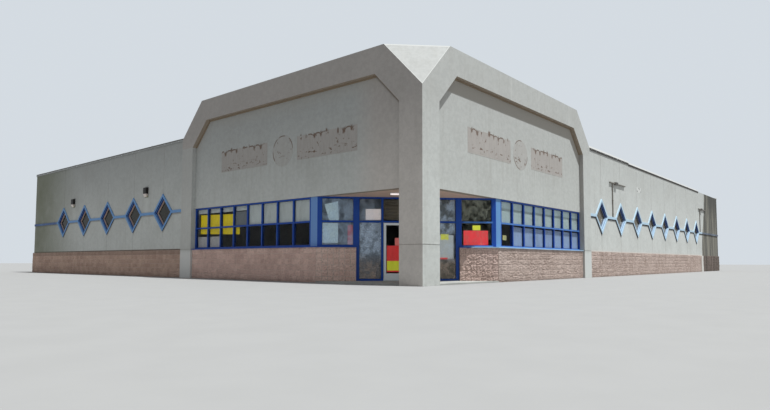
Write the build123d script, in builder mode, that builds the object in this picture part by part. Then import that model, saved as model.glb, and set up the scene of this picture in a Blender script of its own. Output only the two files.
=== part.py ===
from build123d import *
from dataclasses import dataclass
from math import hypot, sqrt
import os

# A vacant one-storey corner pharmacy, stucco over split-face block, as a 1:2 scale model.
# Every length is in millimetres of the model, so the real building is twice as large.
# The public corner is the south-west one. The right front runs along +X and faces -Y,
# the left front runs along +Y and faces -X, and the doors stand on the diagonal between.

# Overall plan
right_length = 21250
left_length = 15400
wall_inner = 225

# Raised portal frames at the corner
portal_length = 6625
portal_rise = 750
corner_chamfer_run = 757
corner_chamfer_rise = 790
end_chamfer_run = 728
end_chamfer_rise = 762
band_width = 445
pier_width = 410
recess_depth = 90

# Wing walls
wing_setback = 75
wing_height = 3060
joint_width = 10
joint_depth = 5

# Split-face block at the foot of the walls
block_face = 35
block_height = 610
pier_joint_height = 620
pier_joint_width = 12
pier_joint_depth = 8

# Roof and floor
parapet_height = 285
roof_thickness = 75
floor_thickness = 25

# Metal coping on the wing walls
coping_height = 50
coping_overhang = 14
coping_metal = 6
coping_leg = 15
coping_step = 25
raised_coping_length = 3035
bare_wall_length = 3350

# Window rows
window_setback = 110
window_head = 1500
sill_thickness = 15
sill_overhang = 12
transom_height = 1065
frame_width = 30
frame_depth = 57
glass_setback = 25
glass_thickness = 12
window_start = 2535
window_columns = 8

# Diagonal entry
turn_distance = 2350
entry_stile = 20
bay_outer = 1512
bay_inner = 965
base_end = 915
sidelight_outer = 860
jamb_width = 36
door_half_width = 436
bottom_rail = 35

# Entry doors
door_gap = 6
door_setback = 8
door_thickness = 22
door_stile = 45
door_top_rail = 40
door_bottom_rail = 125
pull_radius = 7
pull_length = 160
pull_height = 525
pull_standoff = 30
pull_bend = 14
pivot_radius = 4
pivot_depth = 30
pivot_clearance = 0.3

# Soffit and bulkhead over the entry
soffit_thickness = 20
bulkhead_thickness = 100
light_length = 730
light_width = 110
light_drop = 25
light_reach = 614
light_rounding = 22

# Diamond windows and the belt that links them
diamond_lead = 905
diamond_pitch = 1410
diamond_height = 1485
diamond_half = 435
trim_width = 52
trim_projection = 21
belt_height = 62
diamond_frame_width = 30
diamond_frame_depth = 60
diamond_bead_width = 26
diamond_bead_depth = 30
diamond_glass_setback = 46

# End pilaster on the right front
pilaster_offset = 3250
pilaster_width = 300

# Wall lights on the left wing
wall_light_height = 2015
wall_light_width = 130
wall_light_tall = 230
wall_light_depth = 65
wall_light_hood = 50
wall_light_foot = 32
wall_light_slope = 12
wall_light_lens = 140
wall_light_offsets = (70, 20)

# Crossbar lights on the right wing
crossbar_height = 2400
crossbar_length = 1150
crossbar_lead = 205
crossbar_thickness = 22
crossbar_standoff = 14
lamp_length = 160
lamp_tall = 70
lamp_depth = 50
lamp_lead = 350
riser_width = 24
first_riser_offset = 90
last_riser_offset = 620


@dataclass(frozen=True)
class Front:
    """One street front: its outer plane, the sense of its run and what stands on its wing."""

    name: str
    run: int
    plane: Plane
    length: float
    diamonds: int


wall_thickness = wall_inner - wing_setback
portal_height = wing_height + portal_rise
roof_underside = wing_height - parapet_height - roof_thickness
pilaster_start = right_length - pilaster_offset
block_projection = wing_setback - block_face
overall_x = right_length + block_projection
overall_y = left_length + block_projection
corner = Vector(-overall_x / 2, -overall_y / 2, 0)
right_front = Front("right", 1, Plane(corner, (1, 0, 0), (0, -1, 0)), right_length, 8)
left_front = Front("left", -1, Plane(corner, (0, -1, 0), (-1, 0, 0)), left_length, 5)
fronts = (left_front, right_front)

# The plane of the diagonal storefront: its x runs from the left front to the right one
entry_mid = (turn_distance + window_setback) / 2
entry_plane = Plane(corner + Vector(entry_mid, entry_mid, 0), (1, -1, 0), (-1, -1, 0))
base_projection = window_setback - block_face
base_inner = wall_inner - window_setback
sill_top = block_height + sill_thickness
inner_top = portal_height - band_width
pier_low = portal_length - pier_width
trim_inner = diamond_half - trim_width * sqrt(2)
frame_inner = trim_inner - diamond_frame_width * sqrt(2)
bead_inner = frame_inner - diamond_bead_width * sqrt(2)


def inner_slope(run, rise, post):
    """The inner edge of a chamfered band: where its slope starts and how high it meets the post."""
    knee = run + band_width * (hypot(run, rise) - run) / rise
    return knee, inner_top - (knee - post) * rise / run


inner_knee, inner_foot = inner_slope(corner_chamfer_run, corner_chamfer_rise, band_width)
end_knee, end_foot = inner_slope(end_chamfer_run, end_chamfer_rise, pier_width)


def plan(x, y):
    """A point of the plan, counted from the public corner."""
    return (corner.X + x, corner.Y + y)


def along_entry(run, inward):
    """A plan point on the diagonal: run along the storefront, inward from its outer face."""
    return (
        corner.X + entry_mid + (run + inward) / sqrt(2),
        corner.Y + entry_mid + (inward - run) / sqrt(2),
    )


def front_plan(front, s, r):
    """A plan point of one front: s along it from the public corner, r behind its outer face."""
    return plan(s, r) if front.run > 0 else plan(r, s)


def turn_point(front, projection):
    """Where an offset of a front meets the same offset of the diagonal, outwards positive."""
    s = turn_distance - projection * (sqrt(2) - 1)
    return front_plan(front, s, window_setback - projection)


def facade_slab(front, label, outline, near, far):
    """A slab of one front with an outline of (distance, height) points between two depths."""
    with BuildPart() as slab:
        with BuildSketch(front.plane.offset(-near)):
            with BuildLine():
                Polyline([(front.run * s, z) for s, z in outline], close=True)
            make_face()
        extrude(amount=-(far - near))
    return finish(slab, label)


def rectangle_points(low, high, bottom, top):
    """The four corners of an upright rectangle."""
    return [(low, bottom), (high, bottom), (high, top), (low, top)]


def plan_slab(label, outline, bottom, top):
    """A level slab with a plan outline between two heights."""
    with BuildPart() as slab:
        with BuildSketch(Plane.XY.offset(bottom)):
            with BuildLine():
                Polyline(outline, close=True)
            make_face()
        extrude(amount=top - bottom)
    return finish(slab, label)


def finish(builder, label):
    """Labels a finished piece and writes it."""
    builder.part.label = label
    export_step(builder.part, f"parts/{label}.step")
    return builder.part


def diamond_places(front):
    """Where the diamond windows stand along a wing."""
    first = portal_length + diamond_lead
    return [first + i * diamond_pitch for i in range(front.diamonds)]


def diamond(half, mode=Mode.ADD):
    """A square on its corner in the open sketch, half its diagonal from its centre to its tips."""
    return Rectangle(half * sqrt(2), half * sqrt(2), rotation=45, mode=mode)


os.makedirs("parts", exist_ok=True)

# Corner column with its reveal joint at the height of the block
with BuildPart() as corner_pier:
    with BuildSketch():
        with Locations(plan(band_width / 2, band_width / 2)):
            Rectangle(band_width, band_width)
    extrude(amount=inner_foot)
    with BuildSketch(Plane.XY.offset(pier_joint_height - pier_joint_width / 2)):
        with Locations(plan(band_width / 2, band_width / 2)):
            Rectangle(band_width, band_width)
            offset(amount=-pier_joint_depth, mode=Mode.SUBTRACT)
    extrude(amount=pier_joint_width, mode=Mode.SUBTRACT)
finish(corner_pier, "corner_pier")

# Head over the column, where the two chamfers meet in a sloping three-cornered facet
with BuildPart() as corner_head:
    with BuildSketch(Plane.XY.offset(inner_foot)):
        with BuildLine():
            Polyline(
                [
                    plan(0, 0),
                    plan(inner_knee, 0),
                    plan(inner_knee, wall_inner),
                    plan(wall_inner, inner_knee),
                    plan(0, inner_knee),
                ],
                close=True,
            )
        make_face()
    extrude(amount=portal_height - inner_foot)
    for front in fronts:
        with BuildSketch(front.plane):
            with BuildLine():
                Polyline(
                    [
                        (front.run * band_width, inner_foot),
                        (front.run * (inner_knee + band_width), inner_foot),
                        (front.run * (inner_knee + band_width), inner_top + band_width),
                        (front.run * inner_knee, inner_top),
                    ],
                    close=True,
                )
            make_face()
        extrude(amount=-wall_inner, mode=Mode.SUBTRACT)
    facet_foot = corner + Vector(0, 0, portal_height - corner_chamfer_rise)
    facet = Plane(facet_foot, (1, -1, 0), (-1, -1, corner_chamfer_run / corner_chamfer_rise))
    split(bisect_by=facet, keep=Keep.BOTTOM)
finish(corner_head, "corner_head")

# Outer columns, portal beams with their outer chamfers, and the sign panels set back in them
for front in fronts:
    side = front.name
    with BuildPart() as portal_pier:
        with BuildSketch(front.plane):
            with BuildLine():
                Polyline(
                    [(front.run * s, z) for s, z in rectangle_points(pier_low, portal_length, 0, end_foot)],
                    close=True,
                )
            make_face()
        extrude(amount=-wall_inner)
        with BuildSketch(front.plane):
            with Locations((front.run * (portal_length - pier_width / 2), pier_joint_height)):
                Rectangle(pier_width, pier_joint_width)
        extrude(amount=-pier_joint_depth, mode=Mode.SUBTRACT)
    finish(portal_pier, f"{side}_portal_pier")
    facade_slab(
        front,
        f"{side}_portal_beam",
        [
            (inner_knee, inner_top),
            (inner_knee, portal_height),
            (portal_length - end_chamfer_run, portal_height),
            (portal_length, portal_height - end_chamfer_rise),
            (portal_length, end_foot),
            (pier_low, end_foot),
            (portal_length - end_knee, inner_top),
        ],
        0,
        wall_inner,
    )
    facade_slab(
        front,
        f"{side}_sign_panel",
        [
            (band_width, window_head),
            (pier_low, window_head),
            (pier_low, end_foot),
            (portal_length - end_knee, inner_top),
            (inner_knee, inner_top),
            (band_width, inner_foot),
        ],
        recess_depth,
        wall_inner,
    )

# Wing walls with their diamond openings and the control joints over and under each of them
for front in fronts:
    with BuildPart() as wing_wall:
        with BuildSketch(front.plane.offset(-wing_setback)):
            with BuildLine():
                Polyline(
                    [
                        (front.run * s, z)
                        for s, z in rectangle_points(portal_length, front.length, 0, wing_height)
                    ],
                    close=True,
                )
            make_face()
            with Locations(*[(front.run * s, diamond_height) for s in diamond_places(front)]):
                diamond(trim_inner, Mode.SUBTRACT)
        extrude(amount=-wall_thickness)
        with BuildSketch(front.plane.offset(-wing_setback)):
            with Locations(*[(front.run * s, wing_height / 2) for s in diamond_places(front)]):
                Rectangle(joint_width, wing_height)
        extrude(amount=-joint_depth, mode=Mode.SUBTRACT)
        if front is right_front:
            with BuildSketch(front.plane.offset(-block_face)):
                with Locations((pilaster_start + pilaster_width / 2, block_height / 2)):
                    Rectangle(pilaster_width, block_height)
            extrude(amount=-block_projection)
    finish(wing_wall, f"{front.name}_wall")

# Plain rear and end walls of the same height
plan_slab(
    "rear_wall",
    [
        plan(wall_inner, left_length - wall_thickness),
        plan(right_length, left_length - wall_thickness),
        plan(right_length, left_length),
        plan(wall_inner, left_length),
    ],
    0,
    wing_height,
)
plan_slab(
    "end_wall",
    [
        plan(right_length - wall_thickness, wall_inner),
        plan(right_length, wall_inner),
        plan(right_length, left_length - wall_thickness),
        plan(right_length - wall_thickness, left_length - wall_thickness),
    ],
    0,
    wing_height,
)

# Projecting split-face block at the foot of the wing, rear and end walls
pilaster_end = pilaster_start + pilaster_width
facade_slab(
    left_front,
    "left_wainscot",
    rectangle_points(portal_length, left_length + block_projection, 0, block_height),
    block_face,
    wing_setback,
)
facade_slab(
    right_front,
    "right_wainscot",
    rectangle_points(portal_length, pilaster_start, 0, block_height),
    block_face,
    wing_setback,
)
facade_slab(
    right_front,
    "right_end_wainscot",
    rectangle_points(pilaster_end, right_length + block_projection, 0, block_height),
    block_face,
    wing_setback,
)
plan_slab(
    "rear_wainscot",
    [
        plan(wing_setback, left_length),
        plan(overall_x, left_length),
        plan(overall_x, overall_y),
        plan(wing_setback, overall_y),
    ],
    0,
    block_height,
)
plan_slab(
    "end_wainscot",
    [
        plan(right_length, wing_setback),
        plan(overall_x, wing_setback),
        plan(overall_x, left_length),
        plan(right_length, left_length),
    ],
    0,
    block_height,
)


def coping_points(centre, lift=0):
    """The section of a bent metal cap over a wall top: flat on top, with a leg down each face."""
    outer = wall_thickness / 2 + coping_overhang
    top = wing_height + coping_height + lift
    inner = outer - coping_metal
    foot = wing_height - coping_leg
    return [
        (centre - outer, foot),
        (centre - inner, foot),
        (centre - inner, wing_height),
        (centre + inner, wing_height),
        (centre + inner, foot),
        (centre + outer, foot),
        (centre + outer, top),
        (centre - outer, top),
    ]


def mitre(x, y, lean):
    """The upright plane that mitres two copings where their centre lines meet."""
    return Plane(corner + Vector(x, y, 0), (0, 0, 1), (1, lean, 0))


wall_centre = wing_setback + wall_thickness / 2
raised_coping_end = portal_length + raised_coping_length
bare_coping_start = right_length - bare_wall_length
cap_reach = wall_thickness / 2 + coping_overhang
end_cap_run = right_length - wall_thickness / 2
rear_cap_run = left_length - wall_thickness / 2

# Coping of the right wing: a first raised length, then the rest as far as it still stands
with BuildPart() as right_coping:
    for low, high, lift in (
        (portal_length, raised_coping_end, coping_step),
        (raised_coping_end, bare_coping_start, 0),
    ):
        with BuildSketch(Plane(corner + Vector(low, 0, 0), (0, 1, 0), (1, 0, 0))):
            with BuildLine():
                Polyline(coping_points(wall_centre, lift), close=True)
            make_face()
        extrude(amount=high - low)
finish(right_coping, "right_coping")

with BuildPart() as left_coping:
    with BuildSketch(Plane(corner + Vector(0, portal_length, 0), (-1, 0, 0), (0, 1, 0))):
        with BuildLine():
            Polyline(coping_points(-wall_centre), close=True)
        make_face()
    extrude(amount=rear_cap_run + cap_reach - portal_length)
    split(bisect_by=mitre(wall_centre, rear_cap_run, 1), keep=Keep.BOTTOM)
finish(left_coping, "left_coping")

with BuildPart() as rear_coping:
    with BuildSketch(Plane(corner + Vector(wall_centre - cap_reach, 0, 0), (0, 1, 0), (1, 0, 0))):
        with BuildLine():
            Polyline(coping_points(rear_cap_run), close=True)
        make_face()
    extrude(amount=end_cap_run - wall_centre + 2 * cap_reach)
    split(bisect_by=mitre(wall_centre, rear_cap_run, 1), keep=Keep.TOP)
    split(bisect_by=mitre(end_cap_run, rear_cap_run, -1), keep=Keep.BOTTOM)
finish(rear_coping, "rear_coping")

with BuildPart() as end_coping:
    with BuildSketch(Plane(corner + Vector(0, wall_centre - cap_reach, 0), (-1, 0, 0), (0, 1, 0))):
        with BuildLine():
            Polyline(coping_points(-end_cap_run), close=True)
        make_face()
    extrude(amount=rear_cap_run - wall_centre + 2 * cap_reach)
    split(bisect_by=mitre(end_cap_run, wall_centre, 1), keep=Keep.TOP)
    split(bisect_by=mitre(end_cap_run, rear_cap_run, -1), keep=Keep.TOP)
finish(end_coping, "end_coping")


# Block walls and sills under the windows: along each front, then turned under the first diagonal bay
for front in fronts:
    for label, low, high, lip in (
        ("base_wall", 0, block_height, 0),
        ("window_sill", block_height, sill_top, sill_overhang),
    ):
        outward = base_projection + lip
        plan_slab(
            f"{front.name}_{label}",
            [
                turn_point(front, outward),
                front_plan(front, pier_low, window_setback - outward),
                front_plan(front, pier_low, wall_inner),
                turn_point(front, -base_inner),
                along_entry(front.run * base_end, base_inner),
                along_entry(front.run * base_end, -outward),
            ],
            low,
            high,
        )

# Cover posts where the window rows turn onto the diagonal
for front in fronts:
    post_end = bay_outer + entry_stile
    plan_slab(
        f"{front.name}_corner_post",
        [
            turn_point(front, 0),
            front_plan(front, window_start, window_setback),
            front_plan(front, window_start, window_setback + frame_depth),
            turn_point(front, -frame_depth),
            along_entry(front.run * post_end, frame_depth),
            along_entry(front.run * post_end, 0),
        ],
        sill_top,
        window_head,
    )

lower_pane = (sill_top + frame_width, transom_height - frame_width / 2)
upper_pane = (transom_height + frame_width / 2, window_head - frame_width)
tall_pane = (floor_thickness + bottom_rail, lower_pane[1])


def pane(low, high, heights, run=1):
    """One pane opening in the open sketch, between two distances and two heights."""
    bottom, top = heights
    with Locations((run * (low + high) / 2, (bottom + top) / 2)):
        Rectangle(high - low, top - bottom)


# Ribbon windows: a grid of eight panes by two, cut from one frame, and the glass in it
window_run = pier_low - window_start
column_pitch = (window_run - frame_width) / window_columns
for front in fronts:
    with BuildSketch(front.plane.offset(-window_setback)) as grid:
        for column in range(window_columns):
            low = window_start + frame_width + column * column_pitch
            for heights in (lower_pane, upper_pane):
                pane(low, low + column_pitch - frame_width, heights, front.run)
    with BuildPart() as window_frame:
        with BuildSketch(front.plane.offset(-window_setback)):
            pane(window_start, pier_low, (sill_top, window_head), front.run)
            add(grid.sketch_local, mode=Mode.SUBTRACT)
        extrude(amount=-frame_depth)
    finish(window_frame, f"{front.name}_window_frame")
    with BuildPart() as window_glass:
        with BuildSketch(front.plane.offset(-window_setback - glass_setback)):
            add(grid.sketch_local)
        extrude(amount=-glass_thickness)
    finish(window_glass, f"{front.name}_window_glass")

# Diagonal storefront: on each side of the doors a sidelight down to the floor and a bay on the block
for front in fronts:
    with BuildSketch(entry_plane) as lights:
        for heights in (tall_pane, upper_pane):
            pane(door_half_width + jamb_width, sidelight_outer, heights, front.run)
        for heights in (lower_pane, upper_pane):
            pane(bay_inner, bay_outer, heights, front.run)
    with BuildPart() as entry_window:
        with BuildSketch(entry_plane):
            pane(door_half_width, base_end, (floor_thickness, window_head), front.run)
            pane(base_end, bay_outer + entry_stile, (sill_top, window_head), front.run)
            add(lights.sketch_local, mode=Mode.SUBTRACT)
        extrude(amount=-frame_depth)
    finish(entry_window, f"{front.name}_entry_window")
    with BuildPart() as entry_glass:
        with BuildSketch(entry_plane.offset(-glass_setback)):
            add(lights.sketch_local)
        extrude(amount=-glass_thickness)
    finish(entry_glass, f"{front.name}_entry_glass")

# Bars over the doors and the glass between them
with BuildPart() as door_header:
    with BuildSketch(entry_plane):
        for heights in ((lower_pane[1], upper_pane[0]), (upper_pane[1], window_head)):
            pane(-door_half_width, door_half_width, heights)
    extrude(amount=-frame_depth)
finish(door_header, "door_header")

with BuildPart() as transom_glass:
    with BuildSketch(entry_plane.offset(-glass_setback)):
        pane(-door_half_width, door_half_width, upper_pane)
    extrude(amount=-glass_thickness)
finish(transom_glass, "transom_glass")

# Pair of swing doors: a stile and rail leaf with its pull, and its glass
leaf_bottom = floor_thickness + door_gap
leaf_top = lower_pane[1] - door_gap
leaf_glass = (leaf_bottom + door_bottom_rail, leaf_top - door_top_rail)
for front in fronts:
    near_edge = door_gap / 2
    far_edge = door_half_width - door_gap
    with BuildPart() as door_leaf:
        with BuildSketch(entry_plane.offset(-door_setback)):
            pane(near_edge, far_edge, (leaf_bottom, leaf_top), front.run)
            with Locations(
                (front.run * (near_edge + far_edge) / 2, (leaf_glass[0] + leaf_glass[1]) / 2)
            ):
                Rectangle(
                    far_edge - near_edge - 2 * door_stile,
                    leaf_glass[1] - leaf_glass[0],
                    mode=Mode.SUBTRACT,
                )
        extrude(amount=-door_thickness)
        pull_run = front.run * (near_edge + door_stile / 2)
        grip = entry_plane.offset(-door_setback)
        low = grip.from_local_coords((pull_run, pull_height - pull_length / 2, 0))
        high = grip.from_local_coords((pull_run, pull_height + pull_length / 2, 0))
        out = entry_plane.z_dir * pull_standoff
        with BuildLine():
            FilletPolyline(low, low + out, high + out, high, radius=pull_bend)
        with BuildSketch(Plane(low, z_dir=entry_plane.z_dir)):
            Circle(pull_radius)
        sweep()
        pivot_centre = along_entry(front.run * far_edge, door_setback)
        for low, high in (
            (floor_thickness + pivot_clearance, leaf_bottom + pivot_depth),
            (leaf_top - pivot_depth, lower_pane[1] - pivot_clearance),
        ):
            with BuildSketch(Plane.XY.offset(low)):
                with Locations(pivot_centre):
                    Circle(pivot_radius)
            extrude(amount=high - low)
    finish(door_leaf, f"{front.name}_door_leaf")
    with BuildPart() as door_glass:
        with BuildSketch(entry_plane.offset(-door_setback - (door_thickness - glass_thickness) / 2)):
            pane(near_edge + door_stile, far_edge - door_stile, leaf_glass, front.run)
        extrude(amount=-glass_thickness)
    finish(door_glass, f"{front.name}_door_glass")

# Soffit over the porch, the light on it, and the bulkhead that stands on the diagonal frames
entry_sum = turn_distance + window_setback
plan_slab(
    "entry_soffit",
    [
        plan(band_width, wall_inner),
        plan(entry_sum - wall_inner, wall_inner),
        plan(wall_inner, entry_sum - wall_inner),
        plan(wall_inner, band_width),
        plan(band_width, band_width),
    ],
    window_head,
    window_head + soffit_thickness,
)
with BuildPart() as soffit_light:
    light_plane = Plane(entry_plane.origin + Vector(0, 0, window_head), (1, -1, 0), (0, 0, 1))
    with BuildSketch(light_plane):
        with Locations((0, -light_reach)):
            RectangleRounded(light_length, light_width, light_rounding)
    extrude(amount=-light_drop)
finish(soffit_light, "soffit_light")

bulkhead_sum = entry_sum + bulkhead_thickness * sqrt(2)
plan_slab(
    "entry_bulkhead",
    [
        plan(entry_sum - wall_inner, wall_inner),
        plan(bulkhead_sum - wall_inner, wall_inner),
        plan(wall_inner, bulkhead_sum - wall_inner),
        plan(wall_inner, entry_sum - wall_inner),
    ],
    window_head,
    roof_underside,
)

# Flat roof deck between the walls, and the floor slab, which also carries the porch
plan_slab(
    "roof_deck",
    [
        plan(band_width, wall_inner),
        plan(right_length - wall_thickness, wall_inner),
        plan(right_length - wall_thickness, left_length - wall_thickness),
        plan(wall_inner, left_length - wall_thickness),
        plan(wall_inner, band_width),
        plan(band_width, band_width),
    ],
    roof_underside,
    roof_underside + roof_thickness,
)
plan_slab(
    "floor_slab",
    [
        plan(right_length - wall_thickness, wall_inner),
        plan(right_length - wall_thickness, left_length - wall_thickness),
        plan(wall_inner, left_length - wall_thickness),
        turn_point(left_front, -base_inner),
        along_entry(-base_end, base_inner),
        along_entry(-base_end, -base_projection),
        turn_point(left_front, base_projection),
        plan(block_face, band_width),
        plan(band_width, band_width),
        plan(band_width, block_face),
        turn_point(right_front, base_projection),
        along_entry(base_end, -base_projection),
        along_entry(base_end, base_inner),
        turn_point(right_front, -base_inner),
    ],
    0,
    floor_thickness,
)

# Projecting belt: a band from the portal to the end of the wing with a ring round each diamond
for front in fronts:
    centres = [(front.run * s, diamond_height) for s in diamond_places(front)]
    with BuildPart() as belt:
        with BuildSketch(front.plane.offset(-wing_setback + trim_projection)):
            with Locations((front.run * (portal_length + front.length) / 2, diamond_height)):
                Rectangle(front.length - portal_length, belt_height)
            with Locations(*centres):
                diamond(diamond_half)
                diamond(trim_inner, Mode.SUBTRACT)
        extrude(amount=-trim_projection)
    finish(belt, f"{front.name}_belt")

    # Stepped inner frames of the diamond windows, then their glass
    with BuildPart() as diamond_frames:
        with BuildSketch(front.plane.offset(-wing_setback)):
            with Locations(*centres):
                diamond(trim_inner)
                diamond(frame_inner, Mode.SUBTRACT)
        extrude(amount=-diamond_frame_depth)
        with BuildSketch(front.plane.offset(-wing_setback - diamond_bead_depth)):
            with Locations(*centres):
                diamond(frame_inner)
                diamond(bead_inner, Mode.SUBTRACT)
        extrude(amount=-(diamond_frame_depth - diamond_bead_depth))
    finish(diamond_frames, f"{front.name}_diamond_frames")
    with BuildPart() as diamond_glass:
        with BuildSketch(front.plane.offset(-wing_setback - diamond_glass_setback)):
            with Locations(*centres):
                diamond(bead_inner)
        extrude(amount=-glass_thickness)
    finish(diamond_glass, f"{front.name}_diamond_glass")

# Wall lights of the left wing, about halfway between the first two and the last two diamonds
left_places = diamond_places(left_front)
light_places = (
    (left_places[0] + left_places[1]) / 2 + wall_light_offsets[0],
    (left_places[-2] + left_places[-1]) / 2 + wall_light_offsets[1],
)
with BuildPart() as wall_lights:
    for s in light_places:
        with BuildSketch(Plane(corner + Vector(wing_setback, s, wall_light_height), (-1, 0, 0), (0, 1, 0))):
            with BuildLine():
                half = wall_light_tall / 2
                Polyline(
                    [
                        (0, -half),
                        (0, half),
                        (wall_light_hood, half),
                        (wall_light_depth, half - wall_light_slope),
                        (wall_light_depth, half - wall_light_lens),
                        (wall_light_foot, -half),
                    ],
                    close=True,
                )
            make_face()
        extrude(amount=wall_light_width / 2, both=True)
finish(wall_lights, "left_wall_lights")

# Crossbar lights of the right wing: a riser from the belt, a bar near its top and a lamp on the bar
right_places = diamond_places(right_front)
risers = (
    (right_places[0] + right_places[1]) / 2 + first_riser_offset,
    right_places[-1] + last_riser_offset,
)
belt_top = diamond_height + belt_height / 2
with BuildPart() as crossbar_lights:
    for s in risers:
        bar_start = s - crossbar_lead
        with BuildSketch(right_front.plane.offset(-wing_setback)):
            pane(s - riser_width / 2, s + riser_width / 2, (belt_top, crossbar_height))
        extrude(amount=crossbar_standoff + riser_width / 2)
        with BuildSketch(right_front.plane.offset(-wing_setback)):
            pane(
                bar_start,
                bar_start + crossbar_length,
                (crossbar_height - crossbar_thickness / 2, crossbar_height + crossbar_thickness / 2),
            )
        extrude(amount=crossbar_standoff + crossbar_thickness)
        with BuildSketch(right_front.plane.offset(-wing_setback + crossbar_standoff)):
            pane(
                bar_start + lamp_lead,
                bar_start + lamp_lead + lamp_length,
                (crossbar_height - lamp_tall / 2, crossbar_height + lamp_tall / 2),
            )
        extrude(amount=lamp_depth)
finish(crossbar_lights, "crossbar_lights")
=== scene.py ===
"""The looks of a vacant one-storey corner pharmacy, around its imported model.

Lengths are metres of the 1:2 scale model, in the row frame. The public corner is the south-west one:
the right front runs along +X and faces -Y, the left front runs along +Y and faces -X, and the doors
stand on the diagonal between them.
"""

import logging
import math
from collections.abc import Callable
from dataclasses import dataclass, field
from enum import Enum

import bmesh
import bpy
from mathutils import Matrix, Vector


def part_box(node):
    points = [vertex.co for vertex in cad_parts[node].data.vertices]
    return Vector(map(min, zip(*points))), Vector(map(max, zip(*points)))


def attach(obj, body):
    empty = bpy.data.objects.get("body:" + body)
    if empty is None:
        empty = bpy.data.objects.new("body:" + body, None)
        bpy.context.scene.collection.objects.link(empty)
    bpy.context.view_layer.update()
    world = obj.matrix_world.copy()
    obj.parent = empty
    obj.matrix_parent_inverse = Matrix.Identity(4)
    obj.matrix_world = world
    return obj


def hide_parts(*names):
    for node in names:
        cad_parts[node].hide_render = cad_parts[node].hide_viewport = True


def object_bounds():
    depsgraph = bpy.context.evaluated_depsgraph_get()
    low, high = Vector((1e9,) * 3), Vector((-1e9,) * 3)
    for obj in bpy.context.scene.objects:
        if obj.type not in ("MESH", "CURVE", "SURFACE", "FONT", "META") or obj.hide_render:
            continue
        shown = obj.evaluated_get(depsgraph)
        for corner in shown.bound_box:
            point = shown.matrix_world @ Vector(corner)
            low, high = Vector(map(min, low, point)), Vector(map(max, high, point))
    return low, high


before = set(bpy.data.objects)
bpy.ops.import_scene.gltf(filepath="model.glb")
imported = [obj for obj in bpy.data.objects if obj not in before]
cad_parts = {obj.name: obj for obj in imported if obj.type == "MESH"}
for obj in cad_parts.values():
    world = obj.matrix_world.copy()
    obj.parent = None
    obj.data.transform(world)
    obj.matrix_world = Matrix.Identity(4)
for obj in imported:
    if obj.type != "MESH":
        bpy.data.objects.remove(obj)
CAD_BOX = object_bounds()
log = logging.getLogger("pharmacy")

Colour = tuple[float, float, float]
Span = tuple[float, float]
Outline = list[tuple[float, float]]
Material = bpy.types.Material
Piece = bpy.types.Object
ROOT_TWO = math.sqrt(2)
EAST, NORTH, UP = Vector((1, 0, 0)), Vector((0, 1, 0)), Vector((0, 0, 1))
UPRIGHT = Matrix.Rotation(math.radians(90), 4, "X")


def operator(operation: str, flipped: bool = False) -> Callable[..., "Wire"]:
    """Makes one operator of a wire.

    Args:
        operation: The Math node that it adds.
        flipped: Whether the wire is the last term.

    Returns:
        The method.
    """

    def apply(wire: "Wire", *others: "Term") -> "Wire":
        """The result of the Math node on this wire and the other terms."""
        terms = (*others, wire) if flipped else (wire, *others)
        return wire.graph.node("ShaderNodeMath", dict(enumerate(terms)), operation=operation)

    return apply


class Wire:
    """A node's output that is written into expressions; each operator adds its Math node."""

    __add__, __radd__ = operator("ADD"), operator("ADD", flipped=True)
    __sub__, __rsub__ = operator("SUBTRACT"), operator("SUBTRACT", flipped=True)
    __mul__, __rmul__ = operator("MULTIPLY"), operator("MULTIPLY", flipped=True)
    __truediv__, __mod__ = operator("DIVIDE"), operator("FLOORED_MODULO")
    __gt__, __lt__ = operator("GREATER_THAN"), operator("LESS_THAN")
    larger, smaller = operator("MAXIMUM"), operator("MINIMUM")
    __abs__, floor, root = operator("ABSOLUTE"), operator("FLOOR"), operator("SQRT")

    def __init__(self, graph: "Graph", socket: bpy.types.NodeSocket) -> None:
        """Keeps the socket and the graph that it is part of."""
        self.graph = graph
        self.socket = socket

    def output(self, key: int | str) -> "Wire":
        """Another output of the same node."""
        return Wire(self.graph, self.socket.node.outputs[key])

    def ramp(self, low: float, high: float, start: float = 0.0, end: float = 1.0) -> "Wire":
        """Goes smoothly from a start value, up to low, to an end value, past high."""
        limits = {"Value": self, "From Min": low, "From Max": high, "To Min": start, "To Max": end}
        return self.graph.node("ShaderNodeMapRange", limits, interpolation_type="SMOOTHSTEP")

    def inside(self, low: float, high: float, soft: float) -> "Wire":
        """One between two values, with soft ends."""
        return self.ramp(low - soft, low + soft) * self.ramp(high + soft, high - soft)


Term = Wire | float | int
Inputs = dict[int | str, object]
Shade = Wire | Colour


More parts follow.
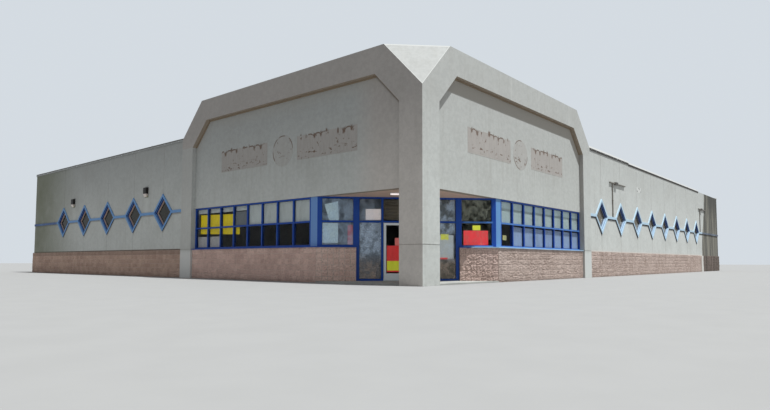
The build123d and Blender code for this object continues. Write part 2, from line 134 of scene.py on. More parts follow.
class Graph:
    """A node tree that is filled by expressions."""

    def __init__(self, tree: bpy.types.NodeTree) -> None:
        """Keeps the tree."""
        self.tree = tree

    def node(
        self, kind: str, inputs: Inputs | None = None, output: int | str = 0, **settings: object
    ) -> Wire:
        """Adds any node.

        Args:
            kind: The node's type.
            inputs: Values or wires for its sockets.
            output: Which output to return.
            settings: Its properties, which are set first.

        Returns:
            That output.
        """
        made = self.tree.nodes.new(kind)
        for name, value in settings.items():
            setattr(made, name, value)
        for key, value in (inputs or {}).items():
            if isinstance(value, Wire):
                self.tree.links.new(value.socket, made.inputs[key])
            else:
                made.inputs[key].default_value = value
        return Wire(self, made.outputs[output] if made.outputs else made.inputs[0])

    def vector(self, operation: str, *terms: Shade) -> Wire:
        """Adds a Vector Math node."""
        return self.node("ShaderNodeVectorMath", dict(enumerate(terms)), operation=operation)

    def join(self, x: Term, y: Term = 0.0, z: Term = 0.0) -> Wire:
        """A vector from its three parts."""
        return self.node("ShaderNodeCombineXYZ", {0: x, 1: y, 2: z})

    def split(self, vector: Wire) -> tuple[Wire, Wire, Wire]:
        """The three parts of a vector."""
        parts = self.node("ShaderNodeSeparateXYZ", {0: vector})
        return parts, parts.output(1), parts.output(2)

    def noise(self, place: Wire, scale: float, detail: float, rough: float) -> Wire:
        """Cloudy noise from 0 to 1 at a number of blots per metre."""
        settings = {"Vector": place, "Scale": scale, "Detail": detail, "Roughness": rough}
        return self.node("ShaderNodeTexNoise", settings)


class Surface(Graph):
    """The node tree of one material."""

    def __init__(self, name: str) -> None:
        """Starts an empty material.

        Args:
            name: Its name.
        """
        self.material = bpy.data.materials.new(name)
        self.material.use_nodes = True
        super().__init__(self.material.node_tree)
        self.tree.nodes.clear()
        self.place = self.node("ShaderNodeTexCoord", output="Object")

    def attribute(self, name: str) -> Wire:
        """A number stored on the piece's own mesh."""
        return self.node("ShaderNodeAttribute", output="Fac", attribute_name=name)

    @property
    def height(self) -> Wire:
        """How high a point is above the ground."""
        return self.split(self.place)[2]

    @property
    def normal(self) -> tuple[Wire, Wire, Wire]:
        """How far a point faces east, north and up."""
        return self.split(self.node("ShaderNodeNewGeometry", output="Normal"))

    def stretched(self, x: float, y: float, z: float) -> Wire:
        """Object coordinates scaled on each axis."""
        return self.vector("MULTIPLY", self.place, (x, y, z))

    def blots(self, scale: float | tuple[float, float, float], detail: float, rough: float = 0.5) -> Wire:
        """Noise on the piece, at a number of blots per metre or at one for each axis."""
        place, scale = (self.stretched(*scale), 1.0) if isinstance(scale, tuple) else (self.place, scale)
        return self.noise(place, scale, detail, rough)

    def mix(self, factor: Term, first: Shade, second: Shade) -> Wire:
        """A colour that goes from the first at 0 to the second at 1."""
        ends = [c if isinstance(c, Wire) else (*c, 1.0) for c in (first, second)]
        return self.node("ShaderNodeMix", {0: factor, 6: ends[0], 7: ends[1]}, 2, data_type="RGBA")

    def bump(self, height: Wire, depth: float, strength: float = 1.0, under: Wire | None = None) -> Wire:
        """A normal for relief from 0 to 1 that is some metres deep, laid over another one if there is one."""
        inputs = {"Height": height, "Distance": depth, "Strength": strength}
        return self.node("ShaderNodeBump", inputs | ({"Normal": under} if under else {}))

    def principled(self, **inputs: object) -> Material:
        """Ends the tree in a Principled shader.

        Args:
            inputs: Its sockets; base_color is the socket Base Color, and so on.

        Returns:
            The finished material.
        """
        sockets = {k.replace("_", " ").title().replace("Ior", "IOR"): v for k, v in inputs.items()}
        for name, value in sockets.items():
            if isinstance(value, tuple):
                sockets[name] = (*value, 1.0)
        shader = self.node("ShaderNodeBsdfPrincipled", sockets)
        self.node("ShaderNodeOutputMaterial", {"Surface": shader})
        return self.material


@dataclass(frozen=True)
class Facing:
    """A face: its origin, the way along it to the right as seen from outside, inwards, and up."""

    origin: Vector
    along: Vector
    inward: Vector
    up: Vector = field(default_factory=UP.copy)

    def point(self, run: float, height: float, depth: float = 0.0) -> Vector:
        """A point at a run along the face, a height and a depth behind it."""
        return self.origin + self.along * run + self.inward * depth + self.up * height

    def matrix(self, run: float, height: float, depth: float) -> Matrix:
        """The frame with x along, y inwards and z up, with its origin at a point of the face."""
        turn = Matrix((self.along, self.inward, self.up)).transposed().to_4x4()
        return Matrix.Translation(self.point(run, height, depth)) @ turn

    def behind(self, depth: float) -> "Facing":
        """The same face at a depth behind this one."""
        return Facing(self.point(0, 0, depth), self.along, self.inward)

    def across(self, run: float) -> "Facing":
        """The plane across this face at a run: its own runs go inwards and its depths along."""
        return Facing(self.point(run, 0), self.inward, self.along)


class Side(Enum):
    """The two street fronts, with the sense in which each runs away from the corner."""

    LEFT = -1
    RIGHT = 1

    @property
    def word(self) -> str:
        """The front's name in the names of nodes."""
        return self.name.lower()

    def spans(self, low: float, high: float) -> Span:
        """A span away from the corner, or from the middle of the entry, as runs along the face."""
        return (low, high) if self is Side.RIGHT else (-high, -low)

    def distance(self, surface: Surface) -> Wire:
        """How far a point of this front is from the corner."""
        x, y, _ = surface.split(surface.place)
        return x - SITE.corner.x if self is Side.RIGHT else y - SITE.corner.y

    def depth(self, surface: Surface) -> Wire:
        """How far a point is behind the portal's face on this front."""
        x, y, _ = surface.split(surface.place)
        return y - SITE.corner.y if self is Side.RIGHT else x - SITE.corner.x


@dataclass(frozen=True)
class Site:
    """Places read from the frame."""

    corner: Vector
    far: Vector
    top: float

    @classmethod
    def read(cls) -> "Site":
        """Reads the street corner from the portals, and the far corner and the top from the whole box."""
        corner = Vector((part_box("left_portal_beam")[0].x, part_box("right_portal_beam")[0].y, 0))
        return cls(corner, Vector((*CAD_BOX[1].xy, 0)), CAD_BOX[1].z)

    def front(self, side: Side) -> Facing:
        """The outer plane of a street front."""
        along, inward = (EAST, NORTH) if side is Side.RIGHT else (-NORTH, EAST)
        return Facing(self.corner, along, inward)

    def setback(self, node: str, side: Side) -> float:
        """How far the street side of a node is behind the plane of its front."""
        return (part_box(node)[0] - self.corner).dot(self.front(side).inward)

    def entry(self) -> Facing:
        """The outer plane of the diagonal storefront.

        Returns:
            The face, with its origin on the line of symmetry.
        """
        front = min(v.co.x + v.co.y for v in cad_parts["door_header"].data.vertices)
        middle = (front - self.corner.x - self.corner.y) / 2
        origin = self.corner + Vector((middle, middle, 0))
        return Facing(origin, Vector((1, -1, 0)) / ROOT_TWO, Vector((1, 1, 0)) / ROOT_TWO)

    def entry_run(self, surface: Surface) -> Wire:
        """How far a point is to the right of the middle of the diagonal storefront."""
        (x, y, _), entry = surface.split(surface.place), self.entry()
        return (x - entry.origin.x) * entry.along.x + (y - entry.origin.y) * entry.along.y

    def black_start(self) -> float:
        """How far along the right front its blackened end begins."""
        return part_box("right_end_wainscot")[0].x - self.corner.x

    def rear(self) -> Facing:
        """The outer plane of the rear wall's block."""
        return Facing(self.far, -EAST, -NORTH)

    def end(self) -> Facing:
        """The outer plane of the end wall's block, from its street corner."""
        return Facing(Vector((self.far.x, self.corner.y, 0)), NORTH, -EAST)


SITE = Site.read()


def shade(colour: Colour, share: float) -> Colour:
    """A colour made darker, or lighter with a share over 1."""
    return tuple(c * share for c in colour)


def rectangle(run: Span, height: Span) -> Outline:
    """The four corners between two runs and two heights, anticlockwise."""
    return [(run[0], height[0]), (run[1], height[0]), (run[1], height[1]), (run[0], height[1])]


def inset(outline: Outline, width: float) -> Outline:
    """Moves a closed outline sideways, to the right of each of its legs.

    Args:
        outline: Its corners; a convex one that goes anticlockwise moves inwards.
        width: How far.

    Returns:
        The moved corners.
    """
    points, moved = [Vector(p) for p in outline], []
    for i, point in enumerate(points):
        before = (point - points[i - 1]).normalized()
        after = (points[(i + 1) % len(points)] - point).normalized()
        bisector = (after - before).normalized()
        moved.append(tuple(point + bisector * width / abs(bisector.cross(after))))
    return moved


class Shape:
    """A mesh in the making."""

    def __init__(self) -> None:
        """Starts empty."""
        self.mesh = bmesh.new()

    def prism(self, facing: Facing, outline: Outline, depth: Span) -> None:
        """A closed slab.

        Args:
            facing: The face that it lies on.
            outline: Its (run, height) corners.
            depth: Its front and back behind that face.
        """
        layers = [[self.mesh.verts.new(facing.point(s, z, d)) for s, z in outline] for d in depth]
        self.mesh.faces.new(layers[0])
        self.mesh.faces.new(reversed(layers[1]))
        self._join(*layers)

    def box(self, facing: Facing, run: Span, height: Span, depth: Span) -> None:
        """A closed upright block between two runs, heights and depths."""
        self.prism(facing, rectangle(run, height), depth)

    def ring(self, facing: Facing, outline: Outline, width: float, depth: Span) -> None:
        """A closed ring of even width.

        Args:
            facing: The face that it lies on.
            outline: The (run, height) corners of its outer edge, convex and anticlockwise.
            width: The width of the ring.
            depth: Its front and back behind that face.
        """
        edges = [(edge, d) for edge in (outline, inset(outline, width)) for d in depth]
        loops = [[self.mesh.verts.new(facing.point(s, z, d)) for s, z in edge] for edge, d in edges]
        for first, second in ((0, 1), (3, 2), (2, 0), (1, 3)):
            self._join(loops[first], loops[second])

    def _join(self, first: list[bmesh.types.BMVert], second: list[bmesh.types.BMVert]) -> None:
        """Quads between two closed loops of as many points."""
        for a, b, c, d in zip(first, second, second[1:] + second[:1], first[1:] + first[:1]):
            self.mesh.faces.new((a, b, c, d))

    def lathe(self, place: Matrix, profile: Outline, sides: int) -> None:
        """A round solid.

        Args:
            place: Its frame; it turns about z.
            profile: (radius, height) points, from the axis and back to it.
            sides: How many sides it has.
        """
        rings = []
        for radius, height in profile:
            turns = [2 * math.pi * i / sides for i in range(sides if radius else 1)]
            points = [Vector((radius * math.cos(a), radius * math.sin(a), height)) for a in turns]
            rings.append([self.mesh.verts.new(place @ p) for p in points])
        for low, high in zip(rings, rings[1:]):
            for i in range(sides):
                j = (i + 1) % sides
                corners = [low[i % len(low)], low[j % len(low)], high[j % len(high)], high[i % len(high)]]
                self.mesh.faces.new(list(dict.fromkeys(corners)))

    def finish(self, name: str, material: Material, bevel: float = 0.0) -> Piece:
        """Closes the mesh and makes it an object.

        Args:
            name: The piece's name.
            material: Its finish.
            bevel: The width of its rounded edges.

        Returns:
            The object, at the origin.
        """
        bmesh.ops.recalc_face_normals(self.mesh, faces=self.mesh.faces)
        if bevel:
            edges = [e for e in self.mesh.edges if e.is_manifold and e.calc_face_angle(0) > math.radians(30)]
            bmesh.ops.bevel(self.mesh, geom=edges, offset=bevel, segments=2, affect="EDGES", profile=0.5)
        mesh = bpy.data.meshes.new(name)
        self.mesh.to_mesh(mesh)
        self.mesh.free()
        mesh.materials.append(material)
        return add_object(name, mesh)

    def settle(self, name: str, material: Material, bevel: float, slot: str, body: str = "building") -> None:
        """Finishes the piece and settles it on its body."""
        settle(self.finish(name, material, bevel), body)


def add_object(name: str, mesh: bpy.types.Mesh) -> Piece:
    """Links a mesh to the scene as an object at the origin.

    Args:
        name: The object's name.
        mesh: Its mesh.

    Returns:
        The object.
    """
    made = bpy.data.objects.new(name, mesh)
    bpy.context.scene.collection.objects.link(made)
    return made


def settle(piece: Piece, body: str = "building") -> None:
    """Lets a piece ride on a body and reports it.

    Args:
        piece: The finished piece.
        body: The body that it moves with.
    """
    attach(piece, body)
    piece.data.calc_loop_triangles()
    log.info("%s rides on %s with %d triangles", piece.name, body, len(piece.data.loop_triangles))


class Recipe(Graph):
    """A Geometry Nodes tree with named inputs that is turned into plain meshes."""

    KINDS = {
        float: "NodeSocketFloat",
        int: "NodeSocketInt",
        Material: "NodeSocketMaterial",
        Piece: "NodeSocketObject",
    }

    def __init__(self, name: str, **inputs: type) -> None:
        """Starts a tree.

        Args:
            name: The tree's name.
            inputs: The kind of each named input.
        """
        super().__init__(bpy.data.node_groups.new(name, "GeometryNodeTree"))
        for word, kind in inputs.items():
            self.tree.interface.new_socket(word.title(), in_out="INPUT", socket_type=self.KINDS[kind])
        self.tree.interface.new_socket("Geometry", in_out="OUTPUT", socket_type="NodeSocketGeometry")
        self.entrance = self.tree.nodes.new("NodeGroupInput")

    def __getitem__(self, word: str) -> Wire:
        """The wire of a named input."""
        return Wire(self, self.entrance.outputs[word.title()])

    def spread(self, points: Wire, piece: Wire, turn: Term = 0.0) -> Wire:
        """One of a piece on each point, turned about the first axis."""
        instances = {"Points": points, "Instance": piece, "Rotation": self.join(turn)}
        return self.node("GeometryNodeInstanceOnPoints", instances)

    def realize(self, instances: Wire) -> Wire:
        """Plain geometry from instances."""
        return self.node("GeometryNodeRealizeInstances", {0: instances})

    def close(self, real: Wire) -> None:
        """Sets the finish on realized geometry and ends the tree."""
        dressed = self.node("GeometryNodeSetMaterial", {"Geometry": real, "Material": self["finish"]})
        self.node("NodeGroupOutput", {0: dressed})

    def bake(self, name: str, place: Matrix, **values: object) -> Piece:
        """Makes one piece from the tree.

        Args:
            name: The piece's name.
            place: Where it stands.
            values: A value for each named input.

        Returns:
            The object, with its place in its mesh.
        """
        source = add_object(name + "_source", bpy.data.meshes.new(name + "_source"))
        modifier = source.modifiers.new(self.tree.name, "NODES")
        modifier.node_group = self.tree
        for item in self.tree.interface.items_tree:
            if item.in_out == "INPUT":
                modifier[item.identifier] = values[item.name.lower()]
        shown = source.evaluated_get(bpy.context.evaluated_depsgraph_get())
        mesh = bpy.data.meshes.new_from_object(shown)
        source.modifiers.remove(modifier)
        bpy.data.objects.remove(source)
        mesh.transform(place)
        mesh.name = name
        return add_object(name, mesh)


Sockets = dict[str, object]


class Finish:
    """What a surface is made of; each kind fills the material's tree in its own way."""

    def paint(self, name: str) -> Material:
        """Builds the material of that name."""
        g = Surface(name)
        return g.principled(**self.sockets(g))

    def sockets(self, g: Surface) -> Sockets:
        """What goes into the shader."""
        raise NotImplementedError


@dataclass(frozen=True)
class DiamondRow:
    """Where the diamond windows stand on both wings."""

    first: float = 7.53
    pitch: float = 1.41
    height: float = 1.485

    def place(self, s: Wire, z: Wire) -> tuple[Wire, Wire]:
        """How far a point is past the middle of the nearest diamond, and how far round it."""
        across = (s - self.first + self.pitch / 2) % self.pitch - self.pitch / 2
        return across, abs(across) + abs(z - self.height)


DIAMONDS = DiamondRow()


@dataclass(frozen=True)
class Stucco(Finish):
    """Sand-float stucco: sandy grain, a trowelled wave, cloudy weathering and faint rain streaks; painted
    shade darkens it higher up and on its tops, and painted warm bounce light lies near the corner.
    """

    colour: Colour = (0.515, 0.53, 0.505)
    grime: Colour = (0.30, 0.285, 0.25)
    soil: Colour = (0.30, 0.235, 0.17)
    aloft: Colour = (0.335, 0.345, 0.335)
    bleached: Colour = (0.455, 0.46, 0.44)
    aloft_height: Span = (1.2, 3.3)
    settled: Colour = (0.45, 0.45, 0.435)
    warmth: Colour = (1.05, 0.955, 0.925)
    warm_reach: Span = (1.6, 0.9)
    grain: float = 260.0
    grain_depth: float = 0.0012
    wave_depth: float = 0.004
    streak: float = 0.20
    mottle_scale: float = 13.0
    mottled: float = 0.2

    def marks(self, g: Surface, colour: Wire, height: Wire) -> tuple[Wire, Wire]:
        """Marks of one wall, added to its colour and its relief; plain stucco has none."""
        return colour, height

    def sockets(self, g: Surface) -> Sockets:
        """Fills the material's tree.

        Args:
            g: The tree.

        Returns:
            The shader's sockets.
        """
        z = g.height
        cloud = g.blots(1.3, 5.0, 0.6)
        rain = g.blots((9.0, 9.0, 0.35), 4.0, 0.65)
        blotch = g.blots(11.0, 4.0, 0.7)
        foot = z.ramp(0.22, 0.0) * blotch.ramp(0.35, 0.7)
        dirt = rain.ramp(0.5, 0.78) * self.streak + foot * 0.2 + cloud.ramp(0.45, 0.75) * 0.14
        east, north, tilt = g.normal
        # Painted shade: higher up, the wall is painted darker, as if less light bounced up to it from the
        # ground, and less dark on the faces towards the sun.
        dull = z.ramp(*self.aloft_height) * tilt.ramp(0.4, 0.2) * (0.85 + cloud * 0.3)
        mottle = g.blots(self.mottle_scale, 3.0, 0.75).ramp(0.38, 0.62)
        colour = g.mix(cloud.ramp(0.3, 0.7), self.colour, shade(self.colour, 0.95))
        colour = g.mix(abs(blotch - 0.5).ramp(0.0, 0.3) * 0.25, colour, self.aloft)
        colour = g.mix(dull.smaller(1.0), colour, g.mix(north.ramp(-0.4, -0.8), self.aloft, self.bleached))
        # Painted shade on faces that look up, toning them down where the key light falls fullest.
        colour = g.mix(tilt.ramp(0.3, 0.5) * (0.8 + cloud * 0.3), colour, self.settled)
        # Painted warm bounce light on the left front near the corner.
        near = Side.LEFT.distance(g).ramp(*self.warm_reach) * east.ramp(-0.8, -0.95)
        colour = g.mix(near, colour, g.vector("MULTIPLY", colour, self.warmth))
        colour = g.mix(mottle * self.mottled, colour, g.vector("MULTIPLY", colour, (0.6, 0.6, 0.6)))
        colour = g.mix(dirt.smaller(0.8), colour, self.grime)
        colour = g.mix(tilt.ramp(-0.3, -0.6) * 0.85, colour, self.soil)
        grit = g.blots(self.grain, 2.0, 0.6)
        colour = g.mix(grit.ramp(0.62, 0.8) * 0.25, colour, self.grime)
        wave = g.blots(7.0, 2.0, 0.5)
        colour, wave = self.marks(g, colour, wave)
        waved = g.bump(wave, self.wave_depth, 0.6)
        return dict(
            base_color=colour, roughness=grit.ramp(0.3, 0.7, 0.82, 0.95),
            normal=g.bump(grit, self.grain_depth, 0.7, waved)
        )


@dataclass(frozen=True)
class BeamStucco(Stucco):
    """The stucco of a portal's beam, with pale lime streaks at a few places."""

    side: Side = Side.RIGHT
    streak_places: tuple[float, ...] = (2.79, 3.96, 5.45)
    streak_width: float = 0.03
    lime: Colour = (0.58, 0.58, 0.55)

    def marks(self, g: Surface, colour: Wire, height: Wire) -> tuple[Wire, Wire]:
        """Adds the streaks, which fade downwards.

        Args:
            g: The material's tree.
            colour: The wall's colour.
            height: Its relief.

        Returns:
            The marked colour and relief.
        """
        s = self.side.distance(g)
        z = g.height
        waver = (g.blots((3.0, 3.0, 6.0), 2.0, 0.5) - 0.5) * 0.05
        fade = z.ramp(2.9, 3.7, 0.35, 0.9) * g.blots(9.0, 3.0, 0.6).ramp(0.25, 0.6)
        for place in self.streak_places:
            streak = (s + waver).inside(place - self.streak_width / 2, place + self.streak_width / 2, 0.03)
            colour = g.mix(streak * fade * 0.55, colour, self.lime)
        return colour, height


@dataclass(frozen=True)
class CornerStucco(Stucco):
    """The stucco of the corner, with painted highlights along the edges of its sloping facet."""

    colour: Colour = (0.54, 0.555, 0.53)
    edging: Colour = (0.58, 0.58, 0.56)
    edge_width: float = 0.011
    top_edge: Span = (3.785, 3.795)

    def marks(self, g: Surface, colour: Wire, height: Wire) -> tuple[Wire, Wire]:
        """Adds painted highlights along the edges where the facet meets the two fronts.

        Args:
            g: The material's tree.
            colour: The wall's colour.
            height: Its relief.

        Returns:
            The marked colour and relief.
        """
        east, north, _ = g.normal
        facet = east.ramp(-0.25, -0.4) * north.ramp(-0.25, -0.4)
        depth = Side.LEFT.depth(g).smaller(Side.RIGHT.depth(g))
        edge = depth.ramp(self.edge_width, self.edge_width * 0.5).larger(g.height.ramp(*self.top_edge))
        return g.mix(facet * edge * 0.8, colour, self.edging), height


@dataclass(frozen=True)
class PierStucco(Stucco):
    """The stucco of an outer column: washed below a scored line, with painted shade on its reveal beside the
    panel.
    """

    reveal: Colour = (0.31, 0.295, 0.27)
    washed: Colour = (0.62, 0.635, 0.615)
    score: float = 0.61
    scored: float = 0.0

    def marks(self, g: Surface, colour: Wire, height: Wire) -> tuple[Wire, Wire]:
        """Paints shade on the faces that look west, which on the right column is its reveal towards the
        corner, and washes the foot of the column.

        Args:
            g: The material's tree.
            colour: The wall's colour.
            height: Its relief.

        Returns:
            The marked colour and relief.
        """
        west = g.normal[0]
        z = g.height
        streaky = g.blots((20.0, 20.0, 0.6), 3.0, 0.6)
        # Painted shade, streaky, on the faces that look west.
        reveal_shaded = streaky.ramp(0.2, 0.6, 0.75, 0.95) * (1.0 - self.scored)
        colour = g.mix(west.ramp(-0.5, -0.9) * reveal_shaded, colour, self.reveal)
        colour = g.mix(z.ramp(self.score + 0.03, self.score - 0.1, 0.12, 0.6), colour, self.washed)
        line = abs(z - self.score).ramp(0.006, 0.002)
        return g.mix(line * self.scored, colour, self.grime), height


@dataclass(frozen=True)
class SignPanel(Stucco):
    """The stucco of a portal's panel, with bare patches where a sign was taken down."""

    side: Side = Side.LEFT
    patches: tuple[Span, ...] = ((1.40, 2.90), (3.75, 5.25))
    patch_height: Span = (2.20, 2.635)
    disc_place: float = 3.30
    disc_radius: float = 0.29
    disc_tone: float = 0.5
    bare: Colour = (0.352, 0.33, 0.308)
    rust: Colour = (0.12, 0.072, 0.048)
    drip_length: float = 0.55
    scallop: float = 0.055
    shelter: Colour = (0.34, 0.318, 0.28)
    shelter_height: Span = (3.0, 3.36)
    sheltered: float = 0.3
    lee: Span = (5.70, 1.05)
    slope: Span = (2.3765, 1.0438)
    under_slope: float = 0.75
    shadow: Colour = (0.11, 0.085, 0.065)

    def marks(self, g: Surface, colour: Wire, height: Wire) -> tuple[Wire, Wire]:
        """Adds the painted shade under the head and beside the inner slope, the patches, the rust in them and
        the drips below them.

        Args:
            g: The material's tree.
            colour: The wall's colour.
            height: Its relief.

        Returns:
            The marked colour and relief.
        """
        s = self.side.distance(g)
        z = g.height
        low, high = self.patch_height
        # Painted shade cast by the head, down to the line of its shadow along the top and the inner slope.
        lee = z + (s - self.lee[0]).larger(0.0) * self.lee[1]
        colour = g.mix(lee.ramp(*self.shelter_height) * self.sheltered, colour, self.shelter)
        below_slope = s * self.slope[1] + self.slope[0] - z
        colour = g.mix(below_slope.ramp(0.11, 0.04) * self.under_slope, colour, self.shadow)
        wander = (g.noise(g.join(s * 3.0), 1.0, 1.0, 0.5) - 0.5) * 1.7
        arc = abs((s * 5.3 + wander) % 1.0 - 0.5)
        teeth = g.noise(g.join(s * 2.6, 3.0), 1.0, 1.0, 0.5).ramp(0.38, 0.6)
        ragged = z + arc.ramp(0.15, 0.5) * teeth * self.scallop
        fibre = g.blots((34.0, 34.0, 5.0), 3.0, 0.6)
        upright = (z + fibre * 0.03).ramp(low + 0.003, low + 0.027) * ragged.ramp(high + 0.005, high - 0.005)
        runs = s.inside(*self.patches[0], 0.004) + s.inside(*self.patches[1], 0.004)
        offset, rise = s - self.disc_place, z - (low + high) / 2
        reach = (offset * offset + rise * rise).root()
        disc = reach.ramp(self.disc_radius + 0.006, self.disc_radius - 0.006)
        patch = (runs * upright).larger(disc)
        raw = g.mix(fibre.ramp(0.35, 0.7) * 0.5, self.bare, shade(self.bare, 0.8))
        colour = g.mix((patch - disc * (1.0 - self.disc_tone)) * 0.93, colour, raw)
        torn = g.blots((26.0, 26.0, 1.3), 2.0, 0.5).ramp(0.62, 0.72)
        top = abs(ragged - high + 0.008)
        dash = g.noise(g.join(s * 2.3, 7.0), 1.0, 1.0, 0.5).ramp(0.44, 0.50)
        blot = g.blots(12.0, 2.0, 0.6)
        rust = top.ramp(0.018, 0.007) * dash * blot.ramp(0.25, 0.45)
        rust = rust.larger(top.ramp(0.07, 0.02) * arc.ramp(0.30, 0.42) * blot.ramp(0.40, 0.48)) * runs
        rim = abs(reach - self.disc_radius + 0.01).ramp(0.012, 0.004)
        rust = rust.larger(rim * g.blots(4.0, 1.0, 0.5).ramp(0.5, 0.58))
        stroke = g.blots((9.0, 9.0, 21.0), 2.0, 0.6).ramp(0.58, 0.64)
        rust = rust.larger(stroke * z.inside(low + 0.03, low + 0.15, 0.03) * patch)
        rust = rust.larger(blot.ramp(0.64, 0.71) * patch * 0.8)
        colour = g.mix(rust * 0.9, colour, self.rust)
        colour = g.mix(torn * patch * 0.6, colour, self.grime)
        drip = g.blots((11.0, 11.0, 0.5), 3.0, 0.6)
        under = z.ramp(low - self.drip_length, low) * z.ramp(low + 0.03, low - 0.03)
        width = s.inside(self.patches[0][0], self.patches[1][1], 0.05)
        colour = g.mix(drip.ramp(0.42, 0.75) * under * width * 0.35, colour, self.grime)
        # A dark line round each patch: grime, and painted shade at its raised edge.
        edge = patch.ramp(0.05, 0.5) * patch.ramp(0.95, 0.5)
        return g.mix(edge * 0.5, colour, self.grime), height + patch * 0.6 + edge * 0.9


@dataclass(frozen=True)
class WingStucco(Stucco):
    """The stucco of a wing, with painted pools of light under its lights, or a blackened end that is partly
    painted shade.
    """

    side: Side = Side.LEFT
    wash_places: tuple[float, ...] = ()
    wash_height: Span = (1.45, 1.92)
    mossy: Span | None = None
    moss: Colour = (0.145, 0.155, 0.10)
    foot_height: float = 0.61
    ledge: Colour = (0.13, 0.09, 0.06)
    joint_depth: float = 0.079
    joint_filler: Colour = (0.68, 0.68, 0.66)
    filled: float = 0.6
    scar: tuple[Span, Span] | None = None
    black_start: float = math.inf
    soot: Colour = (0.036, 0.034, 0.024)
    smoke: Colour = (0.21, 0.195, 0.155)
    lining: Colour = (0.13, 0.105, 0.09)
    lined: float = 0.35
    diamonds: int = 5
    diamond_half: float = 0.6
    belt_line: Span = (1.417, 1.456)
    belt_start: float = 6.63

    def _run_lines(self, g: Surface, s: Wire, z: Wire) -> Wire:
        """Painted shadow, with some grime, under the belt and under the diamonds' lower edges on the corner's
        side.

        Args:
            g: The material's tree.
            s: How far a point is from the corner.
            z: How high it is.

        Returns:
            How dark it is painted.
        """
        across, around = DIAMONDS.place(s, z)
        lower = around.ramp(0.50, 0.48) * around.ramp(0.425, 0.435) * (z < 1.44) * (across < 0.0)
        last = DIAMONDS.first + DIAMONDS.pitch * (self.diamonds - 1)
        lower = lower * s.inside(DIAMONDS.first - self.diamond_half, last + self.diamond_half, 0.02)
        under_belt = z.inside(*self.belt_line, 0.005) * (s > self.belt_start)
        return lower.larger(under_belt) * g.blots((14.0, 14.0, 0.25), 3.0, 0.7).ramp(0.2, 0.6, 0.6, 1.0)

    def marks(self, g: Surface, colour: Wire, height: Wire) -> tuple[Wire, Wire]:
        """Adds the painted pools of light, the coping's run-off, the band over the block, painted light in
        the joints, painted shadow with grime under the trim, and the darkened end, partly painted shade.

        Args:
            g: The material's tree.
            colour: The wall's colour.
            height: Its relief.

        Returns:
            The marked colour and relief.
        """
        s = self.side.distance(g)
        z = g.height
        top = SITE.top
        # Painted pools of light on the wall under each wall light.
        for place in self.wash_places:
            light_pool = s.inside(place - 0.09, place + 0.09, 0.09) * z.inside(*self.wash_height, 0.12)
            colour = g.mix(light_pool * 0.22, colour, shade(self.colour, 1.3))
        runoff = g.blots((14.0, 14.0, 0.25), 3.0, 0.7)
        below_cap = z.ramp(top - 2.0, top - 0.8)
        colour = g.mix(runoff.ramp(0.56, 0.8) * below_cap * 0.4, colour, self.grime)
        ledge = z.ramp(self.foot_height + 0.034, self.foot_height + 0.02)
        colour = g.mix(ledge * runoff.ramp(0.2, 0.6, 0.7, 0.95), colour, self.ledge)
        # Painted light in the control-joint grooves, lifting their shade.
        filled = self.side.depth(g).ramp(self.joint_depth - 0.002, self.joint_depth)
        colour = g.mix(filled * self.filled, colour, self.joint_filler)
        # Painted shadow, with some grime, under the belt and the diamonds' lower edges.
        colour = g.mix(self._run_lines(g, s, z) * self.lined, colour, self.lining)
        if self.scar:
            mark = s.inside(*self.scar[0], 0.03) * z.inside(*self.scar[1], 0.02)
            colour = g.mix(mark * 0.55, colour, self.joint_filler)
            core = g.blots(9.0, 2.0, 0.5).ramp(0.56, 0.62)
            colour = g.mix(mark * core * 0.8, colour, self.soot)
        # Towards the far left end: painted shade of a tree, with greenish dirt.
        if self.mossy:
            cloud = g.blots(2.0, 4.0, 0.6)
            colour = g.mix(s.ramp(*self.mossy) * (0.55 + cloud * 0.5).smaller(0.95), colour, self.moss)
        # The blackened end: painted shade of a tree, with streaked stains over it.
        if math.isfinite(self.black_start):
            curtain = g.blots((7.0, 7.0, 0.16), 4.0, 0.75)
            ragged = z.ramp(0.6, 3.0) * 0.6 + (g.blots(5.0, 4.0, 0.7) - 0.5) * 0.25
            edge = self.black_start - 0.05 + ragged
            crown = (s - edge).ramp(0.3, 0.9) * z.ramp(2.0, 2.9)
            streaks = g.mix(curtain.ramp(0.47, 0.56), self.soot, self.smoke)
            streaks = g.mix(crown * 0.8, streaks, shade(self.soot, 0.45))
            colour = g.mix((s - edge).ramp(-0.03, 0.08) * 0.93, colour, streaks)
        return colour, height


